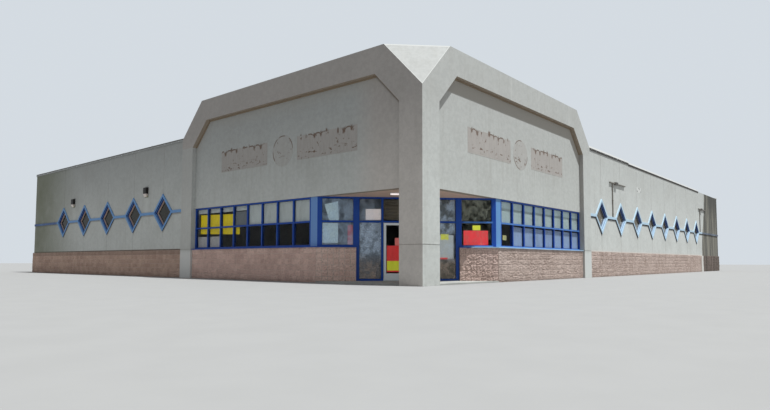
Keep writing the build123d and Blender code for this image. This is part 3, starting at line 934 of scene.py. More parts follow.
@dataclass(frozen=True)
class SplitBlock(Finish):
    """Split-face concrete block, each with its own tint, crushed stone and dust in its hollows."""

    colour: Colour = (0.37, 0.275, 0.235)
    pale: Colour = (0.49, 0.385, 0.335)
    dark: Colour = (0.17, 0.12, 0.095)
    black_start: float = math.inf
    cap: float = math.inf
    spread: float = 0.6

    def sockets(self, g: Surface) -> Sockets:
        """Fills the material's tree.

        Args:
            g: The tree.

        Returns:
            The shader's sockets.
        """
        tint = g.attribute("tint")
        stones = g.blots(60.0, 4.0, 0.75)
        patch = g.blots(1.8, 3.0, 0.5)
        colour = g.mix(tint * self.spread + patch.ramp(0.35, 0.7) * 0.35, self.colour, self.pale)
        colour = g.mix(stones.ramp(0.5, 0.66) * 0.75, colour, self.dark)
        colour = g.mix(stones.ramp(0.42, 0.3) * 0.5, colour, shade(self.pale, 1.15))
        z = g.height
        foot = z.ramp(0.10, 0.0) * patch.ramp(0.3, 0.6)
        colour = g.mix(foot * 0.4, colour, self.dark)
        if math.isfinite(self.cap):
            colour = g.mix(z.ramp(self.cap - 0.003, self.cap + 0.003) * 0.42, colour, self.dark)
        # The blackened end of the block: painted shade of a tree, with streaked stains.
        if math.isfinite(self.black_start):
            stained = Side.RIGHT.distance(g).ramp(self.black_start - 0.03, self.black_start + 0.1)
            curtain = g.blots((7.0, 7.0, 0.16), 4.0, 0.75)
            colour = g.mix(stained * curtain.ramp(0.44, 0.57, 0.95, 0.6), colour, (0.055, 0.043, 0.034))
        grain = g.blots(190.0, 3.0, 0.7)
        coarse = g.bump(stones, 0.018, 1.0)
        return dict(
            base_color=colour, roughness=stones.ramp(0.3, 0.7, 0.8, 0.97),
            normal=g.bump(grain, 0.002, 0.7, coarse)
        )


@dataclass(frozen=True)
class Mortar(Finish):
    """Pale mortar between the blocks."""

    colour: Colour = (0.47, 0.40, 0.36)

    def sockets(self, g: Surface) -> Sockets:
        """Fills the material's tree.

        Args:
            g: The tree.

        Returns:
            The shader's sockets.
        """
        sand = g.blots(210.0, 3.0, 0.7)
        damp = g.blots(3.0, 3.0, 0.5)
        colour = g.mix(damp.ramp(0.35, 0.7), self.colour, shade(self.colour, 0.72))
        colour = g.mix(sand.ramp(0.5, 0.75) * 0.4, colour, shade(self.colour, 0.5))
        return dict(base_color=colour, roughness=0.93, normal=g.bump(sand, 0.0015, 0.8))


@dataclass(frozen=True)
class Paint(Finish):
    """Gloss paint on metal, chalked by the sun and dirty in places; its tops take the chalking colour as
    painted light, and as painted shade where that colour is darker.
    """

    colour: Colour
    chalk: Colour
    chalked: float = 0.25
    roughness: Span = (0.28, 0.5)
    dirt: Colour = (0.06, 0.055, 0.055)
    shine: float = 0.2

    def coat(self, g: Surface) -> Wire | Colour:
        """The colour of the clean coat."""
        return self.colour

    def fade(self, g: Surface, chalked: Wire) -> Wire:
        """The chalking, with painted sunlight added to it in places; nothing more here."""
        return chalked

    def sockets(self, g: Surface) -> Sockets:
        """Fills the material's tree.

        Args:
            g: The tree.

        Returns:
            The shader's sockets.
        """
        cloud = g.blots(5.0, 4.0, 0.65)
        scuff = g.blots((30.0, 30.0, 7.0), 4.0, 0.7)
        # Tops take the chalking colour: painted light on the frames and trim, painted shade on the copings.
        upward = g.normal[2].ramp(0.4, 0.95)
        chalked = self.fade(g, cloud.ramp(0.3, 0.75) * self.chalked + upward * 0.4)
        colour = g.mix(chalked.smaller(0.9), self.coat(g), self.chalk)
        colour = g.mix(scuff.ramp(0.62, 0.85) * 0.35, colour, self.dirt)
        orange_peel = g.blots(90.0, 2.0, 0.5)
        low, high = self.roughness
        return dict(
            base_color=colour, roughness=cloud.ramp(0.25, 0.8, low, high),
            normal=g.bump(orange_peel, 0.0006, 0.35), coat_weight=cloud.ramp(0.7, 0.3, 0.0, 0.08),
            specular_ior_level=self.shine
        )


@dataclass(frozen=True)
class RailPaint(Paint):
    """Frame paint with painted sunlight on the rails, or on the sill past the soffit's cast shade."""

    rail: float | None = None
    rail_half: float = 0.016
    foot: float = 0.0
    shelter: float = 0.0

    def fade(self, g: Surface, chalked: Wire) -> Wire:
        """Adds painted sunlight on the rail at its height and the foot, or on the whole sill, past the
        soffit's cast shade.

        Args:
            g: The material's tree.
            chalked: How far the coat is chalked.

        Returns:
            How far it is faded in all, with the painted sunlight.
        """
        z = g.height
        past_shade = SITE.entry_run(g).ramp(self.shelter - 0.02, self.shelter + 0.02)
        # Painted sunlight past the soffit's cast shade, patchy.
        faded = g.blots(3.0, 2.0, 0.5).ramp(0.2, 0.7, 0.55, 0.9) * past_shade
        if self.rail is None:
            return chalked + faded
        bar = z.inside(self.rail - self.rail_half, self.rail + self.rail_half, 0.002) * 0.6
        return chalked + faded * bar.larger(z.ramp(self.foot + 0.002, self.foot))


@dataclass(frozen=True)
class PostPaint(Paint):
    """Corner post paint: trim colour on the street face, frame colour on the diagonal."""

    side: Side = Side.LEFT
    street: Colour = (0.14, 0.27, 0.55)
    setback: float = 0.11
    edge: float = 2.368

    def coat(self, g: Surface) -> Wire:
        """Trim colour where the post lies in the plane of its street front, up to its mitred edge.

        Args:
            g: The material's tree.

        Returns:
            The colour.
        """
        front = self.side.depth(g).ramp(self.setback + 0.002, self.setback)
        share = front * self.side.distance(g).ramp(self.edge - 0.002, self.edge)
        return g.mix(share, self.colour, self.street)


@dataclass(frozen=True)
class TrimPaint(Paint):
    """Paint of the raised trim of one front."""

    side: Side = Side.LEFT
    # Painted shade on the faces that look neither to the street nor up.
    lining: Colour = (0.006, 0.020, 0.14)

    def facing(self, g: Surface) -> tuple[Wire, Wire]:
        """How far a point faces the street, and how far it faces up."""
        east, north, up = g.normal
        return (north if self.side is Side.RIGHT else east).ramp(-0.6, -0.9), up.ramp(0.1, 0.4)


@dataclass(frozen=True)
class BeltPaint(TrimPaint):
    """Trim paint of the belt and the rings, with painted shade on their edges, and darker past a place where
    the wall's end is stained and painted in shade.
    """

    dark_start: float = 0.0
    dark: Colour = (0.03, 0.04, 0.08)
    # Painted shade on the rings' outer side and lower faces.
    edging: Colour = (0.05, 0.06, 0.09)
    ring_reach: float = 0.375

    def coat(self, g: Surface) -> Wire:
        """The trim colour, the painted shade on its edges and its darkened end.

        Args:
            g: The material's tree.

        Returns:
            The colour.
        """
        s, z = self.side.distance(g), g.height
        street, up = self.facing(g)
        reach = self.ring_reach
        edge = g.mix(DIAMONDS.place(s, z)[1].ramp(reach, reach - 0.01), self.edging, self.lining)
        coat = g.mix((1.0 - street) * (1.0 - up), self.colour, edge)
        # Darker past the wall's darkened end, partly as painted shade.
        return g.mix(s.ramp(self.dark_start - 0.03, self.dark_start + 0.03), coat, self.dark)


@dataclass(frozen=True)
class StepPaint(TrimPaint):
    """Paint of the stepped diamond frames: trim colour on their fronts, painted shade on their reveals,
    painted sunlight on their tops where it is set, and sealant on the bead.
    """

    front: Colour = (0.07, 0.17, 0.42)
    lit: Colour = (0.42, 0.58, 0.72)
    sunlit: float = 0.0
    sealant: Colour = (0.42, 0.315, 0.26)
    bead_depth: float = 0.104

    def coat(self, g: Surface) -> Wire:
        """The steps, from the street inwards.

        Args:
            g: The material's tree.

        Returns:
            The colour.
        """
        street, up = self.facing(g)
        # Painted shade on the reveals, and painted sunlight on the tops as far as it is set.
        coat = g.mix(up * self.sunlit, g.mix(street, self.lining, self.front), self.lit)
        return g.mix(self.side.depth(g).ramp(self.bead_depth - 0.001, self.bead_depth), coat, self.sealant)


@dataclass(frozen=True)
class CopingPaint(Paint):
    """Coping paint with a brown band along its upper edge, or a painted shadow on the leg below its white
    top.
    """

    lip: Span = (3.088, 3.106)
    leg: float = 0.0
    step: float = 9.66
    lift: float = 0.025
    under: Colour = (0.04, 0.035, 0.03)

    def coat(self, g: Surface) -> Wire:
        """The coat, the brown band on it and the painted shadow on the leg, which is higher before the step.

        Args:
            g: The material's tree.

        Returns:
            The colour.
        """
        z = g.height
        raised = z - Side.RIGHT.distance(g).ramp(self.step + 0.001, self.step - 0.001) * self.lift
        coat = g.mix(z.inside(*self.lip, 0.003) * 0.9, self.colour, self.dirt)
        # Painted shadow on the leg, under the coping's edge.
        return g.mix(raised.ramp(self.leg + 0.002, self.leg - 0.002), coat, self.under)


@dataclass(frozen=True)
class HoodPaint(Paint):
    """Fixture paint that is dark on the hood and pale below it."""

    edge: float = 0.0
    body: Colour = (0.60, 0.53, 0.48)
    foot: Colour = (0.34, 0.36, 0.14)

    def coat(self, g: Surface) -> Wire:
        """The body, its yellowed foot and the hood over it.

        Args:
            g: The material's tree.

        Returns:
            The colour.
        """
        z = g.height
        body = g.mix(z.ramp(self.edge - 0.045, self.edge - 0.075), self.body, self.foot)
        return g.mix(z.ramp(self.edge - 0.002, self.edge + 0.002), body, self.colour)


@dataclass(frozen=True)
class Glass(Finish):
    """Old plate glass: dark and clear, with a film of dust, and pale streaks of painted reflection below a
    height.
    """

    colour: Colour = (0.010, 0.014, 0.016)
    dust: Colour = (0.13, 0.13, 0.12)
    body: float = 0.13
    scrawl: float = 0.0
    scrawl_top: float = 1.065

    def sockets(self, g: Surface) -> Sockets:
        """Fills the material's tree.

        Args:
            g: The tree.

        Returns:
            The shader's sockets.
        """
        smear = g.blots((6.0, 6.0, 2.0), 4.0, 0.6)
        # Pale streaks low on the glass: a painted reflection.
        reflection_trails = abs(g.blots(6.0, 5.0, 0.75) - 0.5).ramp(0.05, 0.0) * self.scrawl
        reflection_trails = reflection_trails * (g.height < self.scrawl_top)
        film = (smear.ramp(0.45, 0.85) * 0.35).larger(reflection_trails)
        ripple = g.blots(2.2, 1.0, 0.4)
        return dict(
            base_color=g.mix(film, self.colour, self.dust), roughness=smear.ramp(0.35, 0.8, 0.02, 0.16),
            alpha=smear.ramp(0.4, 0.85, self.body, self.body + 0.08).larger(reflection_trails),
            normal=g.bump(ripple, 0.006, 0.25)
        )


@dataclass(frozen=True)
class MirrorFilm(Finish):
    """Glass of the diagonal with a painted reflection: a mottled, partly metallic film, browner towards its
    foot.
    """

    bay: Colour = (0.42, 0.53, 0.65)
    sidelight: Colour = (0.50, 0.61, 0.74)
    foot: Colour = (0.36, 0.29, 0.24)
    foot_height: Span = (0.55, 0.30)
    bay_alpha: Span = (0.30, 0.50)
    sidelight_alpha: Span = (0.45, 0.75)
    clear: Span = (1.06, 1.52)
    spots: float = 4.0
    division: float = 0.85
    mirror: float = 0.55
    rail: float = 1.04
    below_rail: float = 1.0

    def sockets(self, g: Surface) -> Sockets:
        """Fills the material's tree.

        Args:
            g: The tree.

        Returns:
            The shader's sockets.
        """
        z = g.height
        near = abs(SITE.entry_run(g)).ramp(self.division + 0.01, self.division - 0.01)
        mottle = g.noise(g.stretched(1.0, 1.0, 0.8), self.spots, 5.0, 0.72)
        speckle = g.blots(42.0, 3.0, 0.7)
        # The film's colours are a painted reflection, browner towards the foot.
        film = g.mix(near, self.bay, self.sidelight)
        film = g.mix(z.ramp(*self.foot_height), film, self.foot)
        film = g.mix(mottle.ramp(0.58, 0.42) * 0.7, film, shade(self.bay, 0.3))
        clear, low = z.inside(*self.clear, 0.01) * 0.6, (z < self.rail) * (1.0 - self.below_rail)
        near_alpha = mottle.ramp(0.35, 0.65, *self.sidelight_alpha) * (1.0 - clear)
        far_alpha = mottle.ramp(0.35, 0.65, *self.bay_alpha) * (1.0 - low)
        return dict(
            base_color=g.mix(speckle.ramp(0.5, 0.7) * 0.25, film, shade(self.bay, 1.5)), metallic=self.mirror,
            roughness=speckle.ramp(0.3, 0.7, 0.12, 0.3), alpha=far_alpha * (1.0 - near) + near_alpha * near,
            normal=g.bump(mottle, 0.004, 0.25)
        )


@dataclass(frozen=True)
class Sheet(Finish):
    """Board, card or paper behind the glass, faded unevenly and a little buckled."""

    colour: Colour
    faded: float = 0.18
    roughness: float = 0.75
    # Painted light: a glow of the sheet's own colour that brightens it in the dim space behind the glass.
    glow: float = 0.0

    def sockets(self, g: Surface) -> Sockets:
        """Fills the material's tree.

        Args:
            g: The tree.

        Returns:
            The shader's sockets.
        """
        fade = g.blots(2.6, 3.0, 0.5)
        fibre = g.blots(120.0, 2.0, 0.6)
        pale = tuple(c + (0.6 - c) * self.faded for c in self.colour)
        colour = g.mix(fade.ramp(0.3, 0.75), self.colour, pale)
        colour = g.mix(fibre.ramp(0.55, 0.8) * 0.12, colour, shade(self.colour, 0.6))
        buckle = g.bump(fade, 0.012, 0.5)
        return dict(
            base_color=colour, roughness=self.roughness, normal=g.bump(fibre, 0.0004, 0.4, buckle),
            emission_color=colour, emission_strength=self.glow
        )


@dataclass(frozen=True)
class Metal(Finish):
    """Bare or coated metal with brushing along its length and handling marks."""

    colour: Colour
    metallic: float = 1.0
    roughness: Span = (0.28, 0.45)
    stain: Colour = (0.12, 0.10, 0.08)
    stained: float = 0.25

    def sockets(self, g: Surface) -> Sockets:
        """Fills the material's tree.

        Args:
            g: The tree.

        Returns:
            The shader's sockets.
        """
        brushed = g.blots((220.0, 220.0, 8.0), 2.0, 0.5)
        cloud = g.blots(9.0, 4.0, 0.6)
        colour = g.mix(cloud.ramp(0.55, 0.85) * self.stained, self.colour, self.stain)
        low, high = self.roughness
        return dict(
            base_color=colour, metallic=self.metallic,
            roughness=(brushed * 0.4 + cloud * 0.6).ramp(0.3, 0.7, low, high),
            normal=g.bump(brushed, 0.0003, 0.4)
        )


@dataclass(frozen=True)
class Soffit(Finish):
    """Matt painted soffit board with its joints and a faint water mark."""

    colour: Colour = (0.64, 0.465, 0.37)
    board: float = 0.61
    joint: float = 0.0025

    def sockets(self, g: Surface) -> Sockets:
        """Fills the material's tree.

        Args:
            g: The tree.

        Returns:
            The shader's sockets.
        """
        x, y, _ = g.split(g.place)
        places = (x % self.board, y % (self.board * 2))
        ends, sides = (place.ramp(self.joint * 2, self.joint) for place in places)
        seam = ends + sides
        water = g.blots(2.4, 4.0, 0.6)
        stipple = g.blots(160.0, 2.0, 0.6)
        colour = g.mix(water.ramp(0.5, 0.72) * 0.3, self.colour, shade(self.colour, 0.7))
        colour = g.mix(seam.smaller(1.0) * 0.8, colour, shade(self.colour, 0.35))
        return dict(base_color=colour, roughness=0.82, normal=g.bump(stipple * 0.2 - seam, 0.0015, 0.7))


@dataclass(frozen=True)
class Roofing(Finish):
    """Flat roof membrane with dust in the puddled places."""

    colour: Colour = (0.39, 0.385, 0.365)
    mud: Colour = (0.22, 0.195, 0.16)

    def sockets(self, g: Surface) -> Sockets:
        """Fills the material's tree.

        Args:
            g: The tree.

        Returns:
            The shader's sockets.
        """
        puddle = g.blots(0.45, 4.0, 0.55)
        granule = g.blots(150.0, 3.0, 0.7)
        wrinkle = g.blots((1.2, 6.0, 1.0), 3.0, 0.5)
        colour = g.mix(puddle.ramp(0.45, 0.7) * 0.45, self.colour, self.mud)
        colour = g.mix(granule.ramp(0.5, 0.75) * 0.35, colour, shade(self.colour, 0.6))
        rough = g.bump(granule, 0.001, 0.7)
        relief = g.bump(wrinkle, 0.006, 0.5, rough)
        return dict(base_color=colour, roughness=puddle.ramp(0.4, 0.65, 0.88, 0.7), normal=relief)


@dataclass(frozen=True)
class Floor(Finish):
    """Concrete on the porch and worn vinyl tile inside the doors."""

    concrete: Colour = (0.40, 0.40, 0.375)
    tile: Colour = (0.44, 0.42, 0.37)
    tile_size: float = 0.1525
    seam: float = 0.0012

    def sockets(self, g: Surface) -> Sockets:
        """Fills the material's tree.

        Args:
            g: The tree.

        Returns:
            The shader's sockets.
        """
        x, y, _ = g.split(g.place)
        entry = SITE.entry().origin
        inside = (x + y).ramp(entry.x + entry.y + 0.05, entry.x + entry.y + 0.06)
        cell = g.join((x / self.tile_size).floor(), (y / self.tile_size).floor())
        chance = g.node("ShaderNodeTexWhiteNoise", {"Vector": cell}, noise_dimensions="3D")
        rows, columns = ((way % self.tile_size).ramp(self.seam * 2, self.seam) for way in (x, y))
        lines = rows.larger(columns)
        wear = g.blots(1.6, 4.0, 0.6)
        tile = g.mix(chance * 0.35 + wear * 0.4, self.tile, shade(self.tile, 0.62))
        tile = g.mix(lines * 0.7, tile, (0.10, 0.09, 0.08))
        sand = g.blots(170.0, 3.0, 0.65)
        concrete = g.mix(wear.ramp(0.35, 0.7), self.concrete, shade(self.concrete, 0.72))
        concrete = g.mix(sand.ramp(0.55, 0.75) * 0.35, concrete, shade(self.concrete, 0.5))
        return dict(
            base_color=g.mix(inside, concrete, tile), roughness=inside.ramp(0.0, 1.0, 0.88, 0.45),
            normal=g.bump(sand * (1 - inside) - lines * inside, 0.001, 0.7)
        )


@dataclass(frozen=True)
class Diffuser(Finish):
    """Prismatic plastic lens, yellowed and dusty."""

    colour: Colour = (0.74, 0.66, 0.61)
    prism: float = 90.0
    glow: float = 0.0

    def sockets(self, g: Surface) -> Sockets:
        """Fills the material's tree.

        Args:
            g: The tree.

        Returns:
            The shader's sockets.
        """
        cells = g.node("ShaderNodeTexVoronoi", {"Vector": g.place, "Scale": self.prism})
        dust = g.blots(14.0, 3.0, 0.6)
        colour = g.mix(dust.ramp(0.5, 0.8) * 0.35, self.colour, (0.45, 0.40, 0.30))
        relief = g.bump(cells, 0.0015, 0.5)
        glow = {"emission_color": colour, "emission_strength": self.glow}
        return dict(base_color=colour, roughness=0.35, normal=relief, **glow)


@dataclass(frozen=True)
class Rubber(Finish):
    """Gasket rubber or sealant, cracked by the sun."""

    colour: Colour = (0.02, 0.02, 0.022)

    def sockets(self, g: Surface) -> Sockets:
        """Fills the material's tree.

        Args:
            g: The tree.

        Returns:
            The shader's sockets.
        """
        cracks = g.blots(130.0, 3.0, 0.7)
        dusty = tuple(c * 1.6 + 0.01 for c in self.colour)
        colour = g.mix(cracks.ramp(0.5, 0.8) * 0.5, self.colour, dusty)
        return dict(base_color=colour, roughness=0.7, normal=g.bump(cracks, 0.0006, 0.6))


ROYAL: Colour = (0.009, 0.06, 0.34)
# The frames' paler chalking colour, which their tops also take as painted light.
FADED: Colour = (0.12, 0.30, 0.62)
# Paler chalking colour of the sunlit front's trim: bleaching, and painted sunlight on its tops.
BLEACHED_AND_SUNLIT: Colour = (0.60, 0.73, 0.79)
DULL_BLACK: Colour = (0.018, 0.017, 0.016)
FRAME = {"colour": ROYAL, "chalk": FADED, "chalked": 0.06}
TRIM = {"chalked": 0.3, "roughness": (0.35, 0.55)}
# The copings' darker chalking colour is painted shade on their tops.
CAP = {"chalk": (0.30, 0.295, 0.28), "chalked": 0.05, "roughness": (0.35, 0.5)}
WHITE_CAP = {"colour": (0.82, 0.82, 0.80), "dirt": (0.35, 0.32, 0.28), **CAP}


class Palette:
    """The materials, each made once and called by its name."""

    def __init__(self) -> None:
        """Paints every finish."""
        finishes = self._masonry() | self._paints() | self._glass_and_metal()
        self.materials = {name: finish.paint(name) for name, finish in finishes.items()}

    def __getitem__(self, name: str) -> Material:
        """The material of that name."""
        return self.materials[name]

    @staticmethod
    def _masonry() -> dict[str, Finish]:
        """Stucco, block and mortar.

        Returns:
            The finishes by name.
        """
        low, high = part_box("left_wall_lights")
        half = Fixtures.light_width / 2
        # Where the wall lights stand, for the painted pools of light under them.
        washes = tuple(y - SITE.corner.y for y in (low.y + half, high.y - half))
        black_start = SITE.black_start()
        return {
            "stucco": Stucco(),
            "corner_stucco": CornerStucco(),
            "left_beam_stucco": Stucco(warm_reach=(99.0, 98.0)),
            "right_beam_stucco": BeamStucco(),
            "left_pier_stucco": PierStucco(washed=(0.68, 0.68, 0.66), scored=0.6),
            "right_pier_stucco": PierStucco(),
            "left_panel_stucco": SignPanel(),
            "right_panel_stucco": SignPanel(
                side=Side.RIGHT, colour=(0.495, 0.505, 0.48), bleached=(0.44, 0.445, 0.425),
                bare=(0.385, 0.352, 0.327), shelter_height=(3.08, 3.13), sheltered=0.9, under_slope=0.0
            ),
            "left_wing_stucco": WingStucco(wash_places=washes, mossy=(11.8, 15.2)),
            "right_wing_stucco": WingStucco(
                side=Side.RIGHT, colour=(0.575, 0.59, 0.565), bleached=(0.485, 0.495, 0.475),
                ledge=(0.60, 0.58, 0.54), scar=((10.35, 10.75), (2.35, 2.5)), black_start=black_start,
                filled=0.9, lining=(0.045, 0.045, 0.05), lined=0.95, diamonds=8
            ),
            "left_base_block": SplitBlock((0.59, 0.40, 0.345), (0.82, 0.60, 0.52)),
            # Paler than the base block: painted light against the bay's self-shadow.
            "left_bay_block": SplitBlock((0.74, 0.52, 0.445), (0.90, 0.69, 0.60)),
            "left_wing_block": SplitBlock((0.44, 0.295, 0.23), (0.63, 0.45, 0.36), cap=0.51),
            "right_base_block": SplitBlock((0.39, 0.297, 0.255), (0.575, 0.46, 0.407)),
            "right_bay_block": SplitBlock((0.52, 0.375, 0.325), (0.66, 0.495, 0.44)),
            "right_end_block": SplitBlock(black_start=black_start),
            "left_mortar": Mortar((0.72, 0.63, 0.57)),
            # Darker than the left mortar: painted shade that keeps the joints of the sunlit right front from
            # showing pale.
            "right_mortar": Mortar((0.33, 0.25, 0.215)),
        }

    @staticmethod
    def _paints() -> dict[str, Finish]:
        """Paint of the frames, the trim, the copings and the fixtures.

        Returns:
            The finishes by name.
        """
        hood_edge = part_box("left_wall_lights")[1].z - Fixtures.lens_drop
        return {
            "frame_paint": Paint(**FRAME),
            "faded_rail_paint": RailPaint(**FRAME, rail=1.065, foot=0.646, shelter=1.0),
            "faded_sill_paint": RailPaint(ROYAL, (0.44, 0.62, 0.76), 0.06, shelter=1.12),
            "left_post_paint": PostPaint(**FRAME),
            "right_post_paint": PostPaint(**FRAME, side=Side.RIGHT, street=(0.115, 0.27, 0.53)),
            "left_belt_paint": BeltPaint(
                (0.118, 0.268, 0.54), (0.26, 0.44, 0.61), dark_start=13.62, dark=(0.03, 0.07, 0.22), **TRIM
            ),
            # A paler copy of the left belt's paint: bleaching, and painted sunlight on the sunlit front.
            "right_belt_paint": BeltPaint(
                (0.42, 0.58, 0.72), BLEACHED_AND_SUNLIT, side=Side.RIGHT, dark_start=SITE.black_start(), **TRIM
            ),
            "left_step_paint": StepPaint(**FRAME),
            "right_step_paint": StepPaint(
                ROYAL, BLEACHED_AND_SUNLIT, 0.06, side=Side.RIGHT, front=(0.13, 0.22, 0.42), sunlit=0.9,
                lining=(0.008, 0.03, 0.18), sealant=(0.12, 0.15, 0.24)
            ),
            "white_coping_paint": Paint(**WHITE_CAP),
            "right_coping_paint": CopingPaint(**WHITE_CAP, lip=(3.2, 3.3), leg=3.068),
            "left_coping_paint": CopingPaint(colour=(0.28, 0.29, 0.28), dirt=(0.06, 0.045, 0.035), **CAP),
            "hood_paint": HoodPaint(DULL_BLACK, (0.05, 0.05, 0.05), edge=hood_edge),
            "soffit_paint": Soffit(),
            "fixture_paint": Metal(DULL_BLACK, 0.2, (0.4, 0.6)),
            "vent_strip_paint": Metal((0.23, 0.175, 0.12), 0.0, (0.7, 0.9)),
            "cleat_paint": Metal((0.055, 0.045, 0.04), 0.0, (0.7, 0.9)),
        }

    @staticmethod
    def _glass_and_metal() -> dict[str, Finish]:
        """Glass, lenses, bare metal, rubber, roofing and floor.

        Returns:
            The finishes by name.
        """
        return {
            "plate_glass": Glass(),
            "scrawled_glass": Glass(dust=(0.34, 0.33, 0.30), scrawl=0.24),
            "left_amber_glass": Glass((0.02, 0.02, 0.012), (0.06, 0.06, 0.035), 0.8),
            # A paler copy of the left diamond glass: painted sunlight on the sunlit front.
            "right_amber_glass": Glass((0.14, 0.12, 0.085), (0.26, 0.22, 0.16), 0.8),
            "left_mirror_film": MirrorFilm(),
            "right_mirror_film": MirrorFilm(
                bay=(0.34, 0.36, 0.29), bay_alpha=(0.05, 0.48), sidelight_alpha=(0.4, 0.68),
                clear=(0.41, 0.86), spots=9.0, below_rail=0.3
            ),
            "prismatic_lens": Diffuser(),
            "lit_lens": Diffuser((0.86, 0.76, 0.74), glow=0.85),
            "smoked_lens": Diffuser((0.05, 0.048, 0.044)),
            "aluminium": Metal((0.78, 0.84, 0.86), 0.12),
            "conduit_metal": Metal((0.25, 0.23, 0.205), 0.5, (0.45, 0.65)),
            "gasket_rubber": Rubber(),
            "diamond_sealant": Rubber((0.42, 0.31, 0.26)),
            "roofing_membrane": Roofing(),
            "floor_finish": Floor(),
        }

    def dress_nodes(self) -> None:
        """Gives every CAD node its material."""
        plan = {
            "stucco": ("rear_wall", "end_wall", "entry_bulkhead"),
            "corner_stucco": ("corner_pier", "corner_head"),
            "frame_paint": ("door_header", "left_window_sill", "left_window_frame", "left_entry_window"),
            "faded_rail_paint": ("right_window_frame", "right_entry_window"),
            "faded_sill_paint": ("right_window_sill",),
            "plate_glass": ("transom_glass", "right_window_glass", "left_door_glass", "right_door_glass"),
            "scrawled_glass": ("left_window_glass",),
            "aluminium": ("left_door_leaf", "right_door_leaf"),
            "white_coping_paint": ("rear_coping", "end_coping"),
            "soffit_paint": ("entry_soffit",),
            "lit_lens": ("soffit_light",),
            "hood_paint": ("left_wall_lights",),
            "conduit_metal": ("crossbar_lights",),
            "roofing_membrane": ("roof_deck",),
            "floor_finish": ("floor_slab",),
        }
        both = {
            "beam_stucco": "portal_beam", "pier_stucco": "portal_pier", "panel_stucco": "sign_panel",
            "wing_stucco": "wall", "post_paint": "corner_post", "belt_paint": "belt",
            "step_paint": "diamond_frames", "amber_glass": "diamond_glass", "mirror_film": "entry_glass",
            "coping_paint": "coping",
        }
        for side in Side:
            plan |= {f"{side.word}_{finish}": (f"{side.word}_{node}",) for finish, node in both.items()}
        for finish, nodes in plan.items():
            for node in nodes:
                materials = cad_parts[node].data.materials
                materials.clear()
                materials.append(self[finish])
                log.info("%s is dressed in %s", node, finish)


